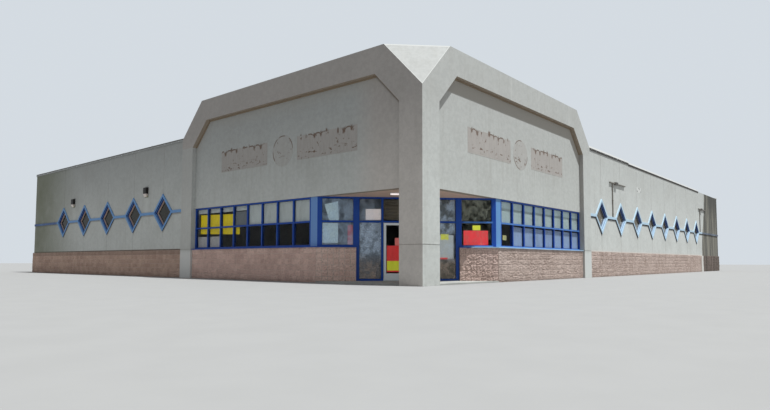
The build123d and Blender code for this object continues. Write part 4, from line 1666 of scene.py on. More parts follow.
@dataclass
class BlockWork:
    """The block on the foot of every wall: a core of mortar, and the split faces that stand out of it."""

    palette: Palette
    module: float = 0.61 / 6
    joint: float = 0.003
    left_joint: float = 0.0045
    open_joint: float = 0.0065
    recess: float = 0.018
    depth: float = 0.006
    sunk: float = 0.002
    relief: float = 0.024
    grid: int = 6
    rounded: float = 0.2
    rim_lift: float = 0.55
    seed_step: float = 3.7
    recipe: Recipe = field(init=False)

    def __post_init__(self) -> None:
        """Builds the tree that all the walls share."""
        self.recipe = self._recipe()

    def _recipe(self) -> Recipe:
        """The tree: a lattice of points, a face with sides on each, its tint, then its own relief.

        Returns:
            The tree, for any wall.
        """
        sizes = dict.fromkeys(("width", "height", "joint", "depth", "relief", "limit"), float)
        r = Recipe("split_face_courses", columns=int, rows=int, seed=int, finish=Material, **sizes)
        width, height, joint, depth, seed = (r[k] for k in ("width", "height", "joint", "depth", "seed"))
        columns, rows = r["columns"], r["rows"]
        lattice = self._grid(r, width * (columns - 1), height * (rows - 1), columns, rows)
        face = self._grid(r, width - joint, height - joint, self.grid, self.grid)
        u, v, _ = r.split(face.output("UV Map"))
        rim = (u.smaller(1 - u)).smaller(v.smaller(1 - v)).ramp(0.0, self.rounded, self.rim_lift, 1.0)
        marked = self._store(r, face, "lift", rim)
        extrusion = {"Mesh": marked, "Offset Scale": depth, "Individual": False}
        thick = r.node("GeometryNodeExtrudeMesh", extrusion, mode="FACES")
        level = r.split(r.node("GeometryNodeInputPosition"))[2]
        lift = r.node("GeometryNodeInputNamedAttribute", {"Name": "lift"}, data_type="FLOAT")
        blocks = r.spread(lattice, self._store(r, thick, "lift", lift * (level > depth * 0.5)))
        limits = {"Min": 0.0, "Max": 1.0, "Seed": seed}
        chance = r.node("FunctionNodeRandomValue", limits, 1, data_type="FLOAT")
        real = r.realize(self._store(r, blocks, "tint", chance, "INSTANCE"))
        place = r.vector("ADD", r.node("GeometryNodeInputPosition"), r.join(seed * self.seed_step))
        lump = (r.noise(place, 33.0, 2.0, 0.6) - 0.5) * 2.4 + (r.noise(place, 9.0, 1.0, 0.5) - 0.5) * 0.6
        out = (lift * r["relief"] * (lump + 0.30)).larger(lift * -0.003).smaller(r["limit"])
        r.close(r.node("GeometryNodeSetPosition", {"Geometry": real, "Offset": r.join(0.0, 0.0, out)}))
        return r

    @staticmethod
    def _grid(r: Recipe, width: Wire, height: Wire, columns: Term, rows: Term) -> Wire:
        """A level grid with a number of points each way."""
        sizes = {"Size X": width, "Size Y": height, "Vertices X": columns, "Vertices Y": rows}
        return r.node("GeometryNodeMeshGrid", sizes)

    @staticmethod
    def _store(r: Recipe, geometry: Wire, name: str, value: Wire, domain: str = "POINT") -> Wire:
        """Stores a number on the geometry under a name."""
        inputs = {"Geometry": geometry, "Name": name, "Value": value}
        return r.node("GeometryNodeStoreNamedAttribute", inputs, data_type="FLOAT", domain=domain)

    def build(self) -> None:
        """Cuts the cores back to the depth of the mortar and faces every wall."""
        entry = SITE.entry()
        wings = {side: SITE.front(side).behind(SITE.setback(f"{side.word}_wainscot", side)) for side in Side}
        rear, end = SITE.rear(), SITE.end()
        walls = [*wings.values(), rear, end]
        cores = {
            word: self._core(f"{word}_wainscot", walls, Side.RIGHT if "right" in word else Side.LEFT)
            for word in ("left", "right", "right_end", "rear", "end")
        }
        joints = {Side.LEFT: (self.left_joint, self.open_joint), Side.RIGHT: (self.joint, self.joint)}
        for side, (joint, bay_joint) in joints.items():
            word = side.word
            points = [v.co - entry.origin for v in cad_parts[f"{word}_base_wall"].data.vertices]
            bay = entry.behind(min(p.dot(entry.inward) for p in points))
            base = self._core(f"{word}_base_wall", [wings[side], bay], side)
            self._face(f"{word}_base_blocks", wings[side], [base], f"{word}_base", joint)
            self._face(f"{word}_bay_blocks", bay, [base], f"{word}_bay", bay_joint)
        self._face("left_wing_blocks", wings[Side.LEFT], [cores["left"]], "left_wing", self.joint)
        self._face("right_wing_blocks", wings[Side.RIGHT], [cores["right"]], "right_base", self.joint)
        self._face("right_end_blocks", wings[Side.RIGHT], [cores["right_end"]], "right_end", self.joint)
        self._face("rear_blocks", rear, list(cores.values()), "left_wing", self.joint)
        self._face("end_blocks", end, list(cores.values()), "left_wing", self.joint)

    def _core(self, node: str, planes: list[Facing], side: Side) -> Piece:
        """The mortar core that stands for a block node, cut back behind some planes.

        Args:
            node: The CAD node.
            planes: The outer planes of its split faces.
            side: The front whose mortar it has.

        Returns:
            The core.
        """
        core = Shape()
        core.mesh.from_mesh(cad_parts[node].data)
        bmesh.ops.remove_doubles(core.mesh, verts=core.mesh.verts, dist=1e-6)
        for plane in planes:
            cut = bmesh.ops.bisect_plane(
                core.mesh, geom=[*core.mesh.verts, *core.mesh.edges, *core.mesh.faces], dist=1e-6,
                plane_co=plane.point(0, 0, self.recess), plane_no=-plane.inward, clear_outer=True
            )
            rim = [e for e in cut["geom_cut"] if isinstance(e, bmesh.types.BMEdge) and e.is_boundary]
            if rim:
                bmesh.ops.edgeloop_fill(core.mesh, edges=rim)
        piece = core.finish(f"{node}_core", self.palette[f"{side.word}_mortar"])
        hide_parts(node)
        settle(piece)
        return piece

    def _face(self, name: str, plane: Facing, cores: list[Piece], tint: str, joint: float) -> None:
        """Lays split faces over all that some cores show in one plane.

        Args:
            name: The piece's name.
            plane: The outer plane of the split faces.
            cores: The cores behind it.
            tint: Which blocks it is laid with.
            joint: How wide its joints are.
        """
        points = [v.co - plane.origin for core in cores for v in core.data.vertices]
        spots = [p for p in points if abs(p.dot(plane.inward) - self.recess) < 1e-4]
        ends = [[p.dot(way) for p in spots] for way in (plane.along, UP)]
        (left, right), (foot, top) = [(min(places), max(places)) for places in ends]
        columns, rows = (max(1, round(length / self.module)) for length in (right - left, top - foot))
        piece = self.recipe.bake(
            name, plane.matrix((left + right) / 2, (foot + top) / 2, self.recess + self.sunk) @ UPRIGHT,
            columns=columns, rows=rows, width=(right - left) / columns, height=(top - foot) / rows,
            joint=joint, depth=self.depth, relief=self.relief, limit=self.recess + self.sunk - self.depth,
            seed=len(name) + columns, finish=self.palette[f"{tint}_block"]
        )
        settle(piece)


@dataclass
class Glazing:
    """Gaskets round the panes, and the sealant in the diamonds."""

    palette: Palette
    window_setback: float = 0.11
    frame_depth: float = 0.057
    glass_setback: float = 0.025
    door_glass_setback: float = 0.013
    glass_thickness: float = 0.012
    gasket: float = 0.0035
    gasket_depth: float = 0.0035
    sealant: float = 0.009
    sealant_depth: float = 0.006

    def panes(self, node: str, facing: Facing) -> list[tuple[Span, Span]]:
        """The run and height of each pane of a glass node.

        Args:
            node: The glass node.
            facing: The face that its panes lie on.

        Returns:
            A (run, height) pair for each pane, from low runs to high ones.
        """
        source = bmesh.new()
        source.from_mesh(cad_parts[node].data)
        bmesh.ops.remove_doubles(source, verts=source.verts, dist=1e-5)
        spans = []
        left = set(source.verts)
        while left:
            island, queue = set(), [left.pop()]
            while queue:
                vert = queue.pop()
                island.add(vert)
                near = {e.other_vert(vert) for e in vert.link_edges} & left
                left -= near
                queue += near
            runs = [(v.co - facing.origin).dot(facing.along) for v in island]
            heights = [v.co.z for v in island]
            spans.append(((min(runs), max(runs)), (min(heights), max(heights))))
        source.free()
        return sorted(spans)

    def build(self) -> None:
        """Fits the gaskets and the sealant."""
        entry = SITE.entry()
        for side in Side:
            word, window = side.word, self.window_setback + self.glass_setback
            self._gaskets(f"{word}_window_gaskets", f"{word}_window_glass", SITE.front(side), window)
            self._gaskets(f"{word}_entry_gaskets", f"{word}_entry_glass", entry, self.glass_setback)
            door = f"{word}_door"
            self._gaskets(f"{door}_gaskets", f"{door}_glass", entry, self.door_glass_setback, door)
            self._seal(side)
        self._gaskets("transom_gasket", "transom_glass", entry, self.glass_setback)

    def _gaskets(self, name: str, node: str, facing: Facing, glass: float, body: str = "building") -> None:
        """Rings of rubber in front of and behind the panes of one node.

        Args:
            name: The piece's name.
            node: The glass node.
            facing: The face that its panes lie on.
            glass: How far behind it the glass is.
            body: The body that it moves with.
        """
        shape = Shape()
        back = glass + self.glass_thickness
        for run, height in self.panes(node, facing):
            for depth in ((glass - self.gasket_depth, glass), (back, back + self.gasket_depth)):
                shape.ring(facing, rectangle(run, height), self.gasket, depth)
        shape.settle(name, self.palette["gasket_rubber"], 0.0012, "blue_frame", body)

    def _seal(self, side: Side) -> None:
        """Rings of sealant round the diamond panes of one wing.

        Args:
            side: The wing's front.
        """
        face, node = SITE.front(side), f"{side.word}_diamond_glass"
        depth = SITE.setback(node, side)
        shape = Shape()
        for run, height in self.panes(node, face):
            middle, centre = sum(run) / 2, sum(height) / 2
            outline = [(middle, height[0]), (run[1], centre), (middle, height[1]), (run[0], centre)]
            shape.ring(face, outline, self.sealant, (depth - self.sealant_depth, depth))
        rubber = "diamond_sealant" if side is Side.LEFT else "gasket_rubber"
        shape.settle(f"{side.word}_diamond_sealant", self.palette[rubber], 0.001, "blue_frame")


@dataclass
class Backings:
    """Boards, blank posters and a blank banner that stand behind the glass."""

    glazing: Glazing
    thickness: float = 0.004
    clearance: float = 0.002
    upper_gap: float = 0.005
    lower_gap: float = 0.03
    head_drop: float = 0.12
    valance_drop: float = 0.09
    slate_gap: float = 0.11
    card_lead: Span = (0.115, 0.255)
    poster_depth: float = 0.027
    poster_thickness: float = 0.0015
    notice_lead: float = 0.0005

    def build(self) -> None:
        """Puts up every board."""
        self._ribbon_boards()
        self._entry_sheets()
        self._door_posters()

    def _boards(self, name: str, facing: Facing, outlines: list[Outline], depth: float, sheet: Sheet) -> None:
        """Puts up blank boards of one kind.

        Args:
            name: The piece's name.
            facing: The face that they stand behind.
            outlines: The corners of each.
            depth: How far behind it their fronts are.
            sheet: What they are made of.
        """
        shape = Shape()
        for outline in outlines:
            shape.prism(facing, outline, (depth, depth + self.thickness))
        shape.settle(name, sheet.paint(f"{name}_card"), 0.0008, "soffit_paint")

    def _rows(self, side: Side) -> tuple[Facing, list[tuple[Span, Span]], list[tuple[Span, Span]]]:
        """The panes of one ribbon window.

        Args:
            side: Its front.

        Returns:
            The face, the panes of its upper row and those of its lower row.
        """
        face = SITE.front(side)
        panes = self.glazing.panes(f"{side.word}_window_glass", face)
        middle = sum(corner.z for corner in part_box("right_window_glass")) / 2
        upper = [pane for pane in panes if pane[1][0] > middle]
        return face, upper, [pane for pane in panes if pane[1][0] < middle]

    def _ribbon_boards(self) -> None:
        """Boards in the panes of the ribbon windows, the banner across three of them and a small card."""
        right, upper, lower = self._rows(Side.RIGHT)
        left, row, _ = self._rows(Side.LEFT)
        glazing = self.glazing
        glass = glazing.window_setback + glazing.glass_setback + glazing.glass_thickness
        behind_glass = glass + glazing.gasket_depth + self.clearance
        behind_frame = glazing.window_setback + glazing.frame_depth + self.clearance
        green, lavender = Sheet((0.52, 0.66, 0.66)), Sheet((0.35, 0.485, 0.74), 0.05)
        # Painted light: the pale head boards and the yellow banner glow, and the head boards' pale colour
        # also stands against the shade under the window heads.
        pale, olive = Sheet((0.62, 0.80, 0.82), 0.05, glow=0.08), Sheet((0.62, 0.60, 0.20), 0.3)
        dull, charcoal = Sheet((0.80, 0.88, 0.86), 0.0), Sheet((0.24, 0.27, 0.29), 0.05)
        yellow, grey = Sheet((0.95, 0.74, 0.002), 0.0, 0.6, 0.16), Sheet((0.75, 0.74, 0.73))
        full = [rectangle(run, height) for run, height in upper]
        heads = [rectangle(run, (height[1] - self.head_drop, height[1])) for run, height in upper]
        low = [rectangle(run, (height[0], height[1] - self.lower_gap)) for run, height in lower[1:]]
        near_corner = [rectangle(run, height) for run, height in row[4:]]
        far, (foot, head) = row[0][0][0], row[3][1]
        valance = rectangle((far, row[3][0][1]), (head - self.valance_drop, head))
        start, end = far + 0.09, row[2][0][1] + 0.15
        banner = [(start, 0.945), (end, 0.905), (end, 1.32), (start, 1.355)]
        slate = rectangle(row[3][0], (foot, head - self.slate_gap))
        low_sheet = rectangle((far, far + 0.9), (0.655, 0.88))
        edge = lower[0][0][0]
        card = rectangle((edge + self.card_lead[0], edge + self.card_lead[1]), (0.76, 0.85))
        for name, face, outlines, depth, sheet in (
            ("right_upper_boards", right, full, behind_glass + self.upper_gap, green),
            ("right_head_boards", right, heads, behind_glass, pale),
            ("right_lower_boards", right, low, behind_glass, lavender),
            ("left_upper_boards", left, near_corner, behind_glass, dull),
            ("left_valance", left, [valance], behind_frame, dull),
            ("yellow_banner", left, [banner], behind_frame, yellow),
            ("slate_board", left, [slate], behind_glass, charcoal),
            ("left_low_sheet", left, [low_sheet], behind_frame, grey),
            ("window_card", right, [card], behind_glass, olive),
        ):
            self._boards(name, face, outlines, depth, sheet)

    def _entry_sheets(self) -> None:
        """Sheets behind the fixed glass of the diagonal."""
        depth = self.glazing.frame_depth + self.clearance
        near = depth - self.clearance - 0.001
        # Painted light: all these sheets glow in the shade of the entry.
        pale, beige = Sheet((0.66, 0.84, 0.87), 0.03, glow=0.4), Sheet((0.90, 0.80, 0.75), 0.03, glow=0.4)
        red, yellow = Sheet((0.90, 0.05, 0.06), 0.0, 0.5, 0.4), Sheet((0.80, 0.84, 0.05), 0.0, 0.5, 0.4)
        pink, chalky = Sheet((0.80, 0.12, 0.17), 0.1, glow=0.25), Sheet((0.72, 0.77, 0.75), 0.03, glow=0.22)
        leaning = [(-1.392, 1.09), (-1.218, 1.063), (-1.237, 1.425), (-1.473, 1.37)]
        for name, outline, front, sheet in (
            ("leaning_board", leaning, depth, pale),
            ("bay_board", rectangle((-1.505, -1.232), (0.689, 1.04)), depth, pale),
            ("bay_strip", rectangle((-1.064, -0.975), (0.641, 1.01)), depth, pink),
            ("sidelight_board", rectangle((-0.747, -0.472), (1.098, 1.294)), depth, beige),
            ("bay_poster", rectangle((1.01, 1.46), (0.646, 0.921)), depth, red),
            ("bay_note", rectangle((1.176, 1.32), (0.927, 1.015)), depth, yellow),
            ("sidelight_poster", rectangle((0.49, 0.828), (0.41, 0.836)), depth, chalky),
            ("sidelight_note", rectangle((0.595, 0.739), (0.755, 0.854)), near, yellow),
            ("sidelight_strip", rectangle((0.49, 0.72), (0.40, 0.435)), near, red),
        ):
            self._boards(name, SITE.entry(), [outline], front, sheet)

    def _door_posters(self) -> None:
        """Blank posters inside the glass of the left door."""
        near = self.poster_depth - self.notice_lead
        for name, front, run, height, colour in (
            ("door_poster", self.poster_depth, (-0.372, -0.075), (0.18, 0.643), (0.85, 0.04, 0.04)),
            ("door_top_poster", self.poster_depth, (-0.228, -0.085), (0.645, 0.78), (0.80, 0.20, 0.18)),
            ("door_notice", near, (-0.368, -0.08), (0.205, 0.372), (0.80, 0.84, 0.03)),
        ):
            shape = Shape()
            shape.box(SITE.entry(), run, height, (front, front + self.poster_thickness))
            # Painted light: the posters glow in the shade of the entry.
            poster = Sheet(colour, 0.06, 0.5, 0.3).paint(f"{name}_card")
            shape.settle(name, poster, 0.0003, "soffit_paint", "left_door")


@dataclass
class Slats:
    """The closed blind behind the glass over the doors."""

    setback: float = 0.085
    pitch: float = 0.026
    width: float = 0.024
    thickness: float = 0.0012
    tilt: float = math.radians(52)
    end_gap: float = 0.01

    def build(self) -> None:
        """Hangs the slats from Geometry Nodes: a flat slat on each point of a line."""
        sizes = dict.fromkeys(("pitch", "length", "width", "tilt"), float)
        r = Recipe("blind_slats", count=int, finish=Material, **sizes)
        drop = r.join(0.0, 0.0, r["pitch"] * -1.0)
        drops = r.node("GeometryNodeMeshLine", {"Count": r["count"], "Offset": drop})
        half = r["length"] * 0.5
        path = r.node("GeometryNodeCurvePrimitiveLine", {"Start": r.join(half * -1.0), "End": r.join(half)})
        edges = {"Width": r["width"], "Height": self.thickness}
        section = r.node("GeometryNodeCurvePrimitiveQuadrilateral", edges)
        sweep = {"Curve": path, "Profile Curve": section, "Fill Caps": True}
        r.close(r.realize(r.spread(drops, r.node("GeometryNodeCurveToMesh", sweep), r["tilt"])))
        low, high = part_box("transom_glass")
        blind = r.bake(
            "transom_blind", SITE.entry().matrix(0.0, high.z - self.width / 2, self.setback),
            count=int((high.z - low.z) / self.pitch), pitch=self.pitch,
            length=(high.x - low.x - Glazing.glass_thickness / ROOT_TWO) * ROOT_TWO - 2 * self.end_gap,
            width=self.width, tilt=self.tilt, finish=Sheet((0.47, 0.43, 0.33), 0.05).paint("blind_slat")
        )
        settle(blind)


@dataclass
class Copings:
    """Cover plates over the joints of the metal coping, and the screws along its legs."""

    palette: Palette
    spacing: float = 1.525
    plate_width: float = 0.075
    plate: float = 0.003
    plate_foot: float = 0.004
    screw_spacing: float = 0.305
    screw_radius: float = 0.0055
    screw_margin: float = 0.05
    screw_height: float = 0.026
    cleat: Span = (3.022, 3.047)
    cleat_depth: Span = (0.0645, 0.0755)
    step: float = 9.66
    lift: float = 0.025

    def build(self) -> None:
        """Dresses the coping of each wall."""
        for word in ("left", "right", "rear", "end"):
            self._plates(word)
        self._cleat()
        self._screws()

    def _cleat(self) -> None:
        """A dark strip under the lower stretch of the right coping: a painted shadow line under its leg."""
        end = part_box("right_coping")[1].x - SITE.corner.x
        shape = Shape()
        shape.box(SITE.front(Side.RIGHT), (self.step, end), self.cleat, self.cleat_depth)
        shape.settle("right_coping_cleat", self.palette["cleat_paint"], 0.001, "white_coping")

    def _section(self, word: str) -> tuple[Facing, Span, Span, Span]:
        """Where a wall's coping runs.

        Args:
            word: The wall.

        Returns:
            Its outer face, its run, its depth and its height.
        """
        low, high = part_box(f"{word}_coping")
        outer, along, inward = {
            "left": (low, -NORTH, EAST),
            "right": (low, EAST, NORTH),
            "rear": (high, -EAST, -NORTH),
            "end": (high, NORTH, -EAST),
        }[word]
        start, end = sorted((low.dot(along), high.dot(along)))
        face = Facing(inward * outer.dot(inward), along, inward)
        return face, (start, end), (0.0, abs((high - low).dot(inward))), (low.z, high.z)

    def _plates(self, word: str) -> None:
        """Bent plates over the joints of one coping.

        Args:
            word: The wall.
        """
        face, (start, end), depth, (foot, top) = self._section(word)
        step = SITE.corner.x + self.step
        right = [(start, step, top), (step, end, top - self.lift)]
        shape = Shape()
        for low, high, level in (right if word == "right" else [(start, end, top)]):
            count = max(1, round((high - low) / self.spacing))
            for i in range(1, count):
                middle = low + i * (high - low) / count
                self._plate(shape, face, middle, depth, (foot + self.plate_foot, level))
        paint = f"{word}_coping_paint" if word in ("left", "right") else "white_coping_paint"
        shape.settle(f"{word}_coping_plates", self.palette[paint], 0.0008, "white_coping")

    def _plate(self, shape: Shape, face: Facing, middle: float, depth: Span, height: Span) -> None:
        """One plate: a flat top and two legs, in one closed section.

        Args:
            shape: The plates so far.
            face: The coping's outer face.
            middle: The run of the joint.
            depth: The coping's front and back.
            height: The foot of the legs and the coping's top.
        """
        (front, back), (foot, top), t = depth, height, self.plate
        inner = [(front, foot), (front, top), (back, top), (back, foot)]
        outer = [(back + t, foot), (back + t, top + t), (front - t, top + t), (front - t, foot)]
        shape.prism(face.across(middle - self.plate_width / 2), inner + outer, (0.0, self.plate_width))

    def _screws(self) -> None:
        """Screws along the outer legs, instanced by Geometry Nodes on a line for each wall."""
        head, r, metal = Shape(), self.screw_radius, self.palette["aluminium"]
        washer = [(0, -0.001), (r * 1.5, -0.001), (r * 1.5, 0.001)]
        head.lathe(UPRIGHT, [*washer, (r, 0.0015), (r * 0.85, 0.0045), (0, 0.005)], 8)
        pattern = head.finish("screw_pattern", metal)
        tree = Recipe("screw_line", count=int, spacing=float, screw=Piece, finish=Material)
        offset = {"Count": tree["count"], "Offset": tree.join(tree["spacing"])}
        screw = tree.node("GeometryNodeObjectInfo", {"Object": tree["screw"]}, "Geometry")
        tree.close(tree.realize(tree.spread(tree.node("GeometryNodeMeshLine", offset), screw)))
        for word in ("left", "right", "rear", "end"):
            face, (start, end), _, (foot, _) = self._section(word)
            count = int((end - start - 2 * self.screw_margin) / self.screw_spacing)
            first = start + (end - start - (count - 1) * self.screw_spacing) / 2
            place = face.matrix(first, foot + self.screw_height, 0.0)
            values = {"count": count, "spacing": self.screw_spacing, "screw": pattern, "finish": metal}
            settle(tree.bake(f"{word}_coping_screws", place, **values))
        bpy.data.objects.remove(pattern)


@dataclass
class RecessStrips:
    """The brown vent strip in the inner corner of each portal, along its head and its slopes."""

    palette: Palette
    width: float = 0.032
    thickness: float = 0.012
    sunk: float = 0.001

    def build(self) -> None:
        """Fits the strip of each portal, of even width below the panel's own outline."""
        for side in Side:
            face = SITE.front(side)
            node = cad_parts[f"{side.word}_sign_panel"].data
            spots = [v.co - face.origin for v in node.vertices]
            depth = min(p.dot(face.inward) for p in spots)
            front = [p for p in spots if p.dot(face.inward) - depth < 1e-4]
            points = {(round(p.dot(face.along), 4), round(p.z, 4)) for p in front}
            head = max(z for _, z in points)
            left, right = (
                (end, max(z for s, z in points if s == end)) for end in (min(points)[0], max(points)[0])
            )
            tops = sorted(s for s, z in points if z == head)
            path = [left, (tops[0], head), (tops[-1], head), right]
            feet = [(s, z - 1) for s, z in (left, right)]
            inner = inset([feet[0], *path, feet[1]], self.width)[1:-1]
            shape = Shape()
            shape.prism(face, [*inner, *reversed(path)], (depth - self.thickness, depth + self.sunk))
            shape.settle(f"{side.word}_recess_strip", self.palette["vent_strip_paint"], 0.001, "soffit_paint")


@dataclass
class Hardware:
    """Lock cylinders, closers and sweeps on the doors, and the threshold under them."""

    palette: Palette
    setback: float = 0.008
    thickness: float = 0.022
    stile: float = 0.0255
    lock_height: float = 0.36
    closer: Span = (0.18, 0.33)
    closer_height: Span = (-0.042, -0.010)
    closer_reach: float = 0.026
    sweep: Span = (0.004, 0.429)
    sweep_gap: float = 0.0062
    sweep_height: float = 0.022
    threshold: Span = (0.006, 0.05)
    threshold_slope: float = 0.006
    threshold_rise: float = 0.0035
    threshold_half: float = 0.43

    def build(self) -> None:
        """Fits the hardware of both leaves and the threshold."""
        entry, top = SITE.entry(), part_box("floor_slab")[1].z
        for side in Side:
            self._leaf(side, entry, top)
        shape = Shape()
        (front, back), slope = self.threshold, self.threshold_slope
        low, high = top - 0.001, top + self.threshold_rise
        outline = [(front, low), (back, low), (back - slope, high), (front + slope, high)]
        shape.prism(entry.across(-self.threshold_half), outline, (0.0, 2 * self.threshold_half))
        shape.settle("threshold", self.palette["aluminium"], 0.0006, "clear_aluminium")

    def _leaf(self, side: Side, entry: Facing, floor: float) -> None:
        """The lock, the closer box and the bottom sweep of one leaf.

        Args:
            side: Which leaf.
            entry: The outer plane of the storefront.
            floor: The height of the floor.
        """
        shape, sweep = Shape(), Shape()
        body, back = f"{side.word}_door", self.setback + self.thickness
        rose = [(0, -0.002), (0.012, -0.002), (0.012, 0.003), (0.009, 0.005), (0, 0.005)]
        plug = [(0, 0.004), (0.0045, 0.004), (0.004, 0.0075), (0, 0.0075)]
        for depth, turn in ((self.setback, 0.0), (back, math.pi)):
            place = entry.matrix(side.value * self.stile, self.lock_height, depth)
            outward = place @ UPRIGHT @ Matrix.Rotation(turn, 4, "X")
            shape.lathe(outward, rose, 20)
            shape.lathe(outward, plug, 12)
        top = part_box(f"{body}_leaf")[1].z
        height = (top + self.closer_height[0], top + self.closer_height[1])
        shape.box(entry, side.spans(*self.closer), height, (back - 0.001, back + self.closer_reach))
        shape.settle(f"{body}_hardware", self.palette["aluminium"], 0.0012, "clear_aluminium", body)
        foot = floor + self.sweep_gap
        depth = (self.setback - 0.003, self.setback + 0.0005)
        sweep.box(entry, side.spans(*self.sweep), (foot, foot + self.sweep_height), depth)
        sweep.settle(f"{body}_sweep", self.palette["aluminium"], 0.0008, "clear_aluminium", body)


@dataclass
class Fixtures:
    """Lenses and backs of the wall lights, clamps, lamps and end caps of the crossbars, and the rim of the
    soffit light.
    """

    palette: Palette
    wing_setback: float = 0.075
    light_width: float = 0.13
    light_reach: float = 0.065
    plate_margin: float = 0.006
    lens_foot: float = 0.032
    lens_drop: float = 0.155
    lens_border: float = 0.008
    ribs: int = 10
    rib_gap: float = 0.0008
    bar_height: float = 2.4
    bar_length: float = 1.15
    bar_lead: float = 0.205
    bar_standoff: float = 0.014
    clamp_heights: tuple[float, ...] = (1.60, 1.95, 2.30)
    # A clamp and an end cap: half the width, half the height, and how far it stands out of the wall.
    clamp: tuple[float, float, float] = (0.028, 0.011, 0.030)
    cap: tuple[float, float, float] = (0.006, 0.015, 0.040)
    sunk: float = 0.001
    lamp_lead: float = 0.35
    lamp_length: float = 0.16
    lamp_half_height: float = 0.035
    lamp_border: Span = (0.008, 0.006)
    lamp_depth: float = 0.05
    rim_half: Span = (0.377, 0.067)
    rim_width: float = 0.014

    def build(self) -> None:
        """Details every light."""
        self._wall_lights()
        self._crossbars()
        self._soffit_light()

    def _wall_lights(self) -> None:
        """A back plate and a ribbed lens for each light of the left wing."""
        low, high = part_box("left_wall_lights")
        face, wall, margin = SITE.front(Side.LEFT), self.wing_setback, self.plate_margin
        half = self.light_width / 2
        plates, lenses = Shape(), Shape()
        for y in (low.y + half, high.y - half):
            run = SITE.corner.y - y
            plate = rectangle((run - half - margin, run + half + margin), (low.z - margin, high.z + margin))
            plates.ring(face, plate, margin + 0.002, (wall - 0.006, wall + 0.001))
            self._lens(lenses, face, run, (low.z, high.z - self.lens_drop))
        plates.settle("wall_light_plates", self.palette["fixture_paint"], 0.002, "dark_fixture")
        lenses.settle("wall_light_lenses", self.palette["prismatic_lens"], 0.001, "light_diffuser")

    def _lens(self, shape: Shape, face: Facing, run: float, height: Span) -> None:
        """Upright ribs of glass on the sloping front below the hood.

        Args:
            shape: The lenses so far.
            face: The plane of the front.
            run: The middle of the light.
            height: The light's foot and the hood's lower edge.
        """
        pitch = (self.light_width - 2 * self.lens_border) / self.ribs
        front, back = self.wing_setback - self.light_reach, self.wing_setback - self.lens_foot
        low, high = height
        outline = [
            (back + 0.003, low + 0.008),
            (back - 0.004, low + 0.002),
            (front - 0.003, high - 0.004),
            (front + 0.004, high),
        ]
        for i in range(self.ribs):
            left = run - self.light_width / 2 + self.lens_border + i * pitch
            shape.prism(face.across(left), outline, (self.rib_gap, pitch - self.rib_gap))

    def _crossbars(self) -> None:
        """Clamps, lamp lenses and end caps of the crossbars."""
        face, bar, wall = SITE.front(Side.RIGHT), self.bar_height, self.wing_setback
        low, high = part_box("crossbar_lights")
        clamps, lamps = Shape(), Shape()
        rim = self.lamp_half_height - self.lamp_border[1]
        front = wall - self.bar_standoff - self.lamp_depth
        for start in (low.x - SITE.corner.x, high.x - SITE.corner.x - self.bar_length):
            riser, left = start + self.bar_lead, start + self.lamp_lead
            spots = [(riser, z, self.clamp, self.sunk) for z in self.clamp_heights]
            spots += [(s, bar, self.cap, -self.sunk) for s in (start, start + self.bar_length)]
            for s, z, (half, rise, reach), back in spots:
                clamps.box(face, (s - half, s + half), (z - rise, z + rise), (wall - reach, wall + back))
            run = (left + self.lamp_border[0], left + self.lamp_length - self.lamp_border[0])
            lamps.box(face, run, (bar - rim, bar + rim), (front - 0.002, front + 0.004))
        clamps.settle("crossbar_clamps", self.palette["conduit_metal"], 0.002, "dark_fixture")
        lamps.settle("crossbar_lenses", self.palette["smoked_lens"], 0.002, "light_diffuser")

    def _soffit_light(self) -> None:
        """The metal rim of the light over the doors."""
        entry = SITE.entry()
        low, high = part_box("soffit_light")
        reach = ((low + high) / 2 - entry.origin).dot(entry.inward)
        length, width = self.rim_half
        outline = rectangle((-length, length), (-width, width))
        height = (high.z - 0.012, high.z + 0.0005)
        level = Facing(entry.point(0, 0, reach), entry.along, UP, UP.cross(entry.along))
        shape = Shape()
        shape.ring(level, outline, self.rim_width, height)
        shape.settle("soffit_light_rim", self.palette["aluminium"], 0.001, "clear_aluminium")


@dataclass
class Roof:
    """Lap seams of the membrane and the flashing turned up against the parapets."""

    palette: Palette
    sheet: float = 1.49
    lap: float = 0.045
    rise: float = 0.003
    seam_ends: Span = (0.26, 0.03)
    upstand: float = 0.12
    bar: float = 0.012
    corner_clear: float = 0.72

    def build(self) -> None:
        """Lays the seams and the flashing."""
        low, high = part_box("roof_deck")
        start_x, start_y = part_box("left_sign_panel")[1].x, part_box("right_sign_panel")[1].y
        seams, flashing = Shape(), Shape()
        south = Facing(NORTH * low.y, EAST, NORTH)
        depth = (self.seam_ends[0], high.y - low.y - self.seam_ends[1])
        for i in range(1, int((high.x - low.x) / self.sheet)):
            middle = low.x + start_x - SITE.corner.x + i * self.sheet
            run = (middle - self.lap / 2, middle + self.lap / 2)
            seams.box(south, run, (high.z - 0.001, high.z + self.rise), depth)
        seams.settle("roof_seams", self.palette["roofing_membrane"], 0.0008, "roofing")
        top, clear = high.z + self.upstand, self.corner_clear
        for facing, run in (
            (Facing(NORTH * high.y, EAST, -NORTH), (start_x, high.x)),
            (Facing(EAST * high.x, NORTH, -EAST), (start_y, high.y)),
            (Facing(NORTH * start_y, EAST, NORTH), (start_x + clear, high.x)),
            (Facing(EAST * start_x, NORTH, EAST), (start_y + clear, high.y)),
        ):
            flashing.box(facing, run, (high.z - 0.001, top), (-0.0005, 0.004))
            flashing.box(facing, run, (top - self.bar, top), (-0.0005, 0.008))
        flashing.settle("roof_flashing", self.palette["roofing_membrane"], 0.001, "roofing")


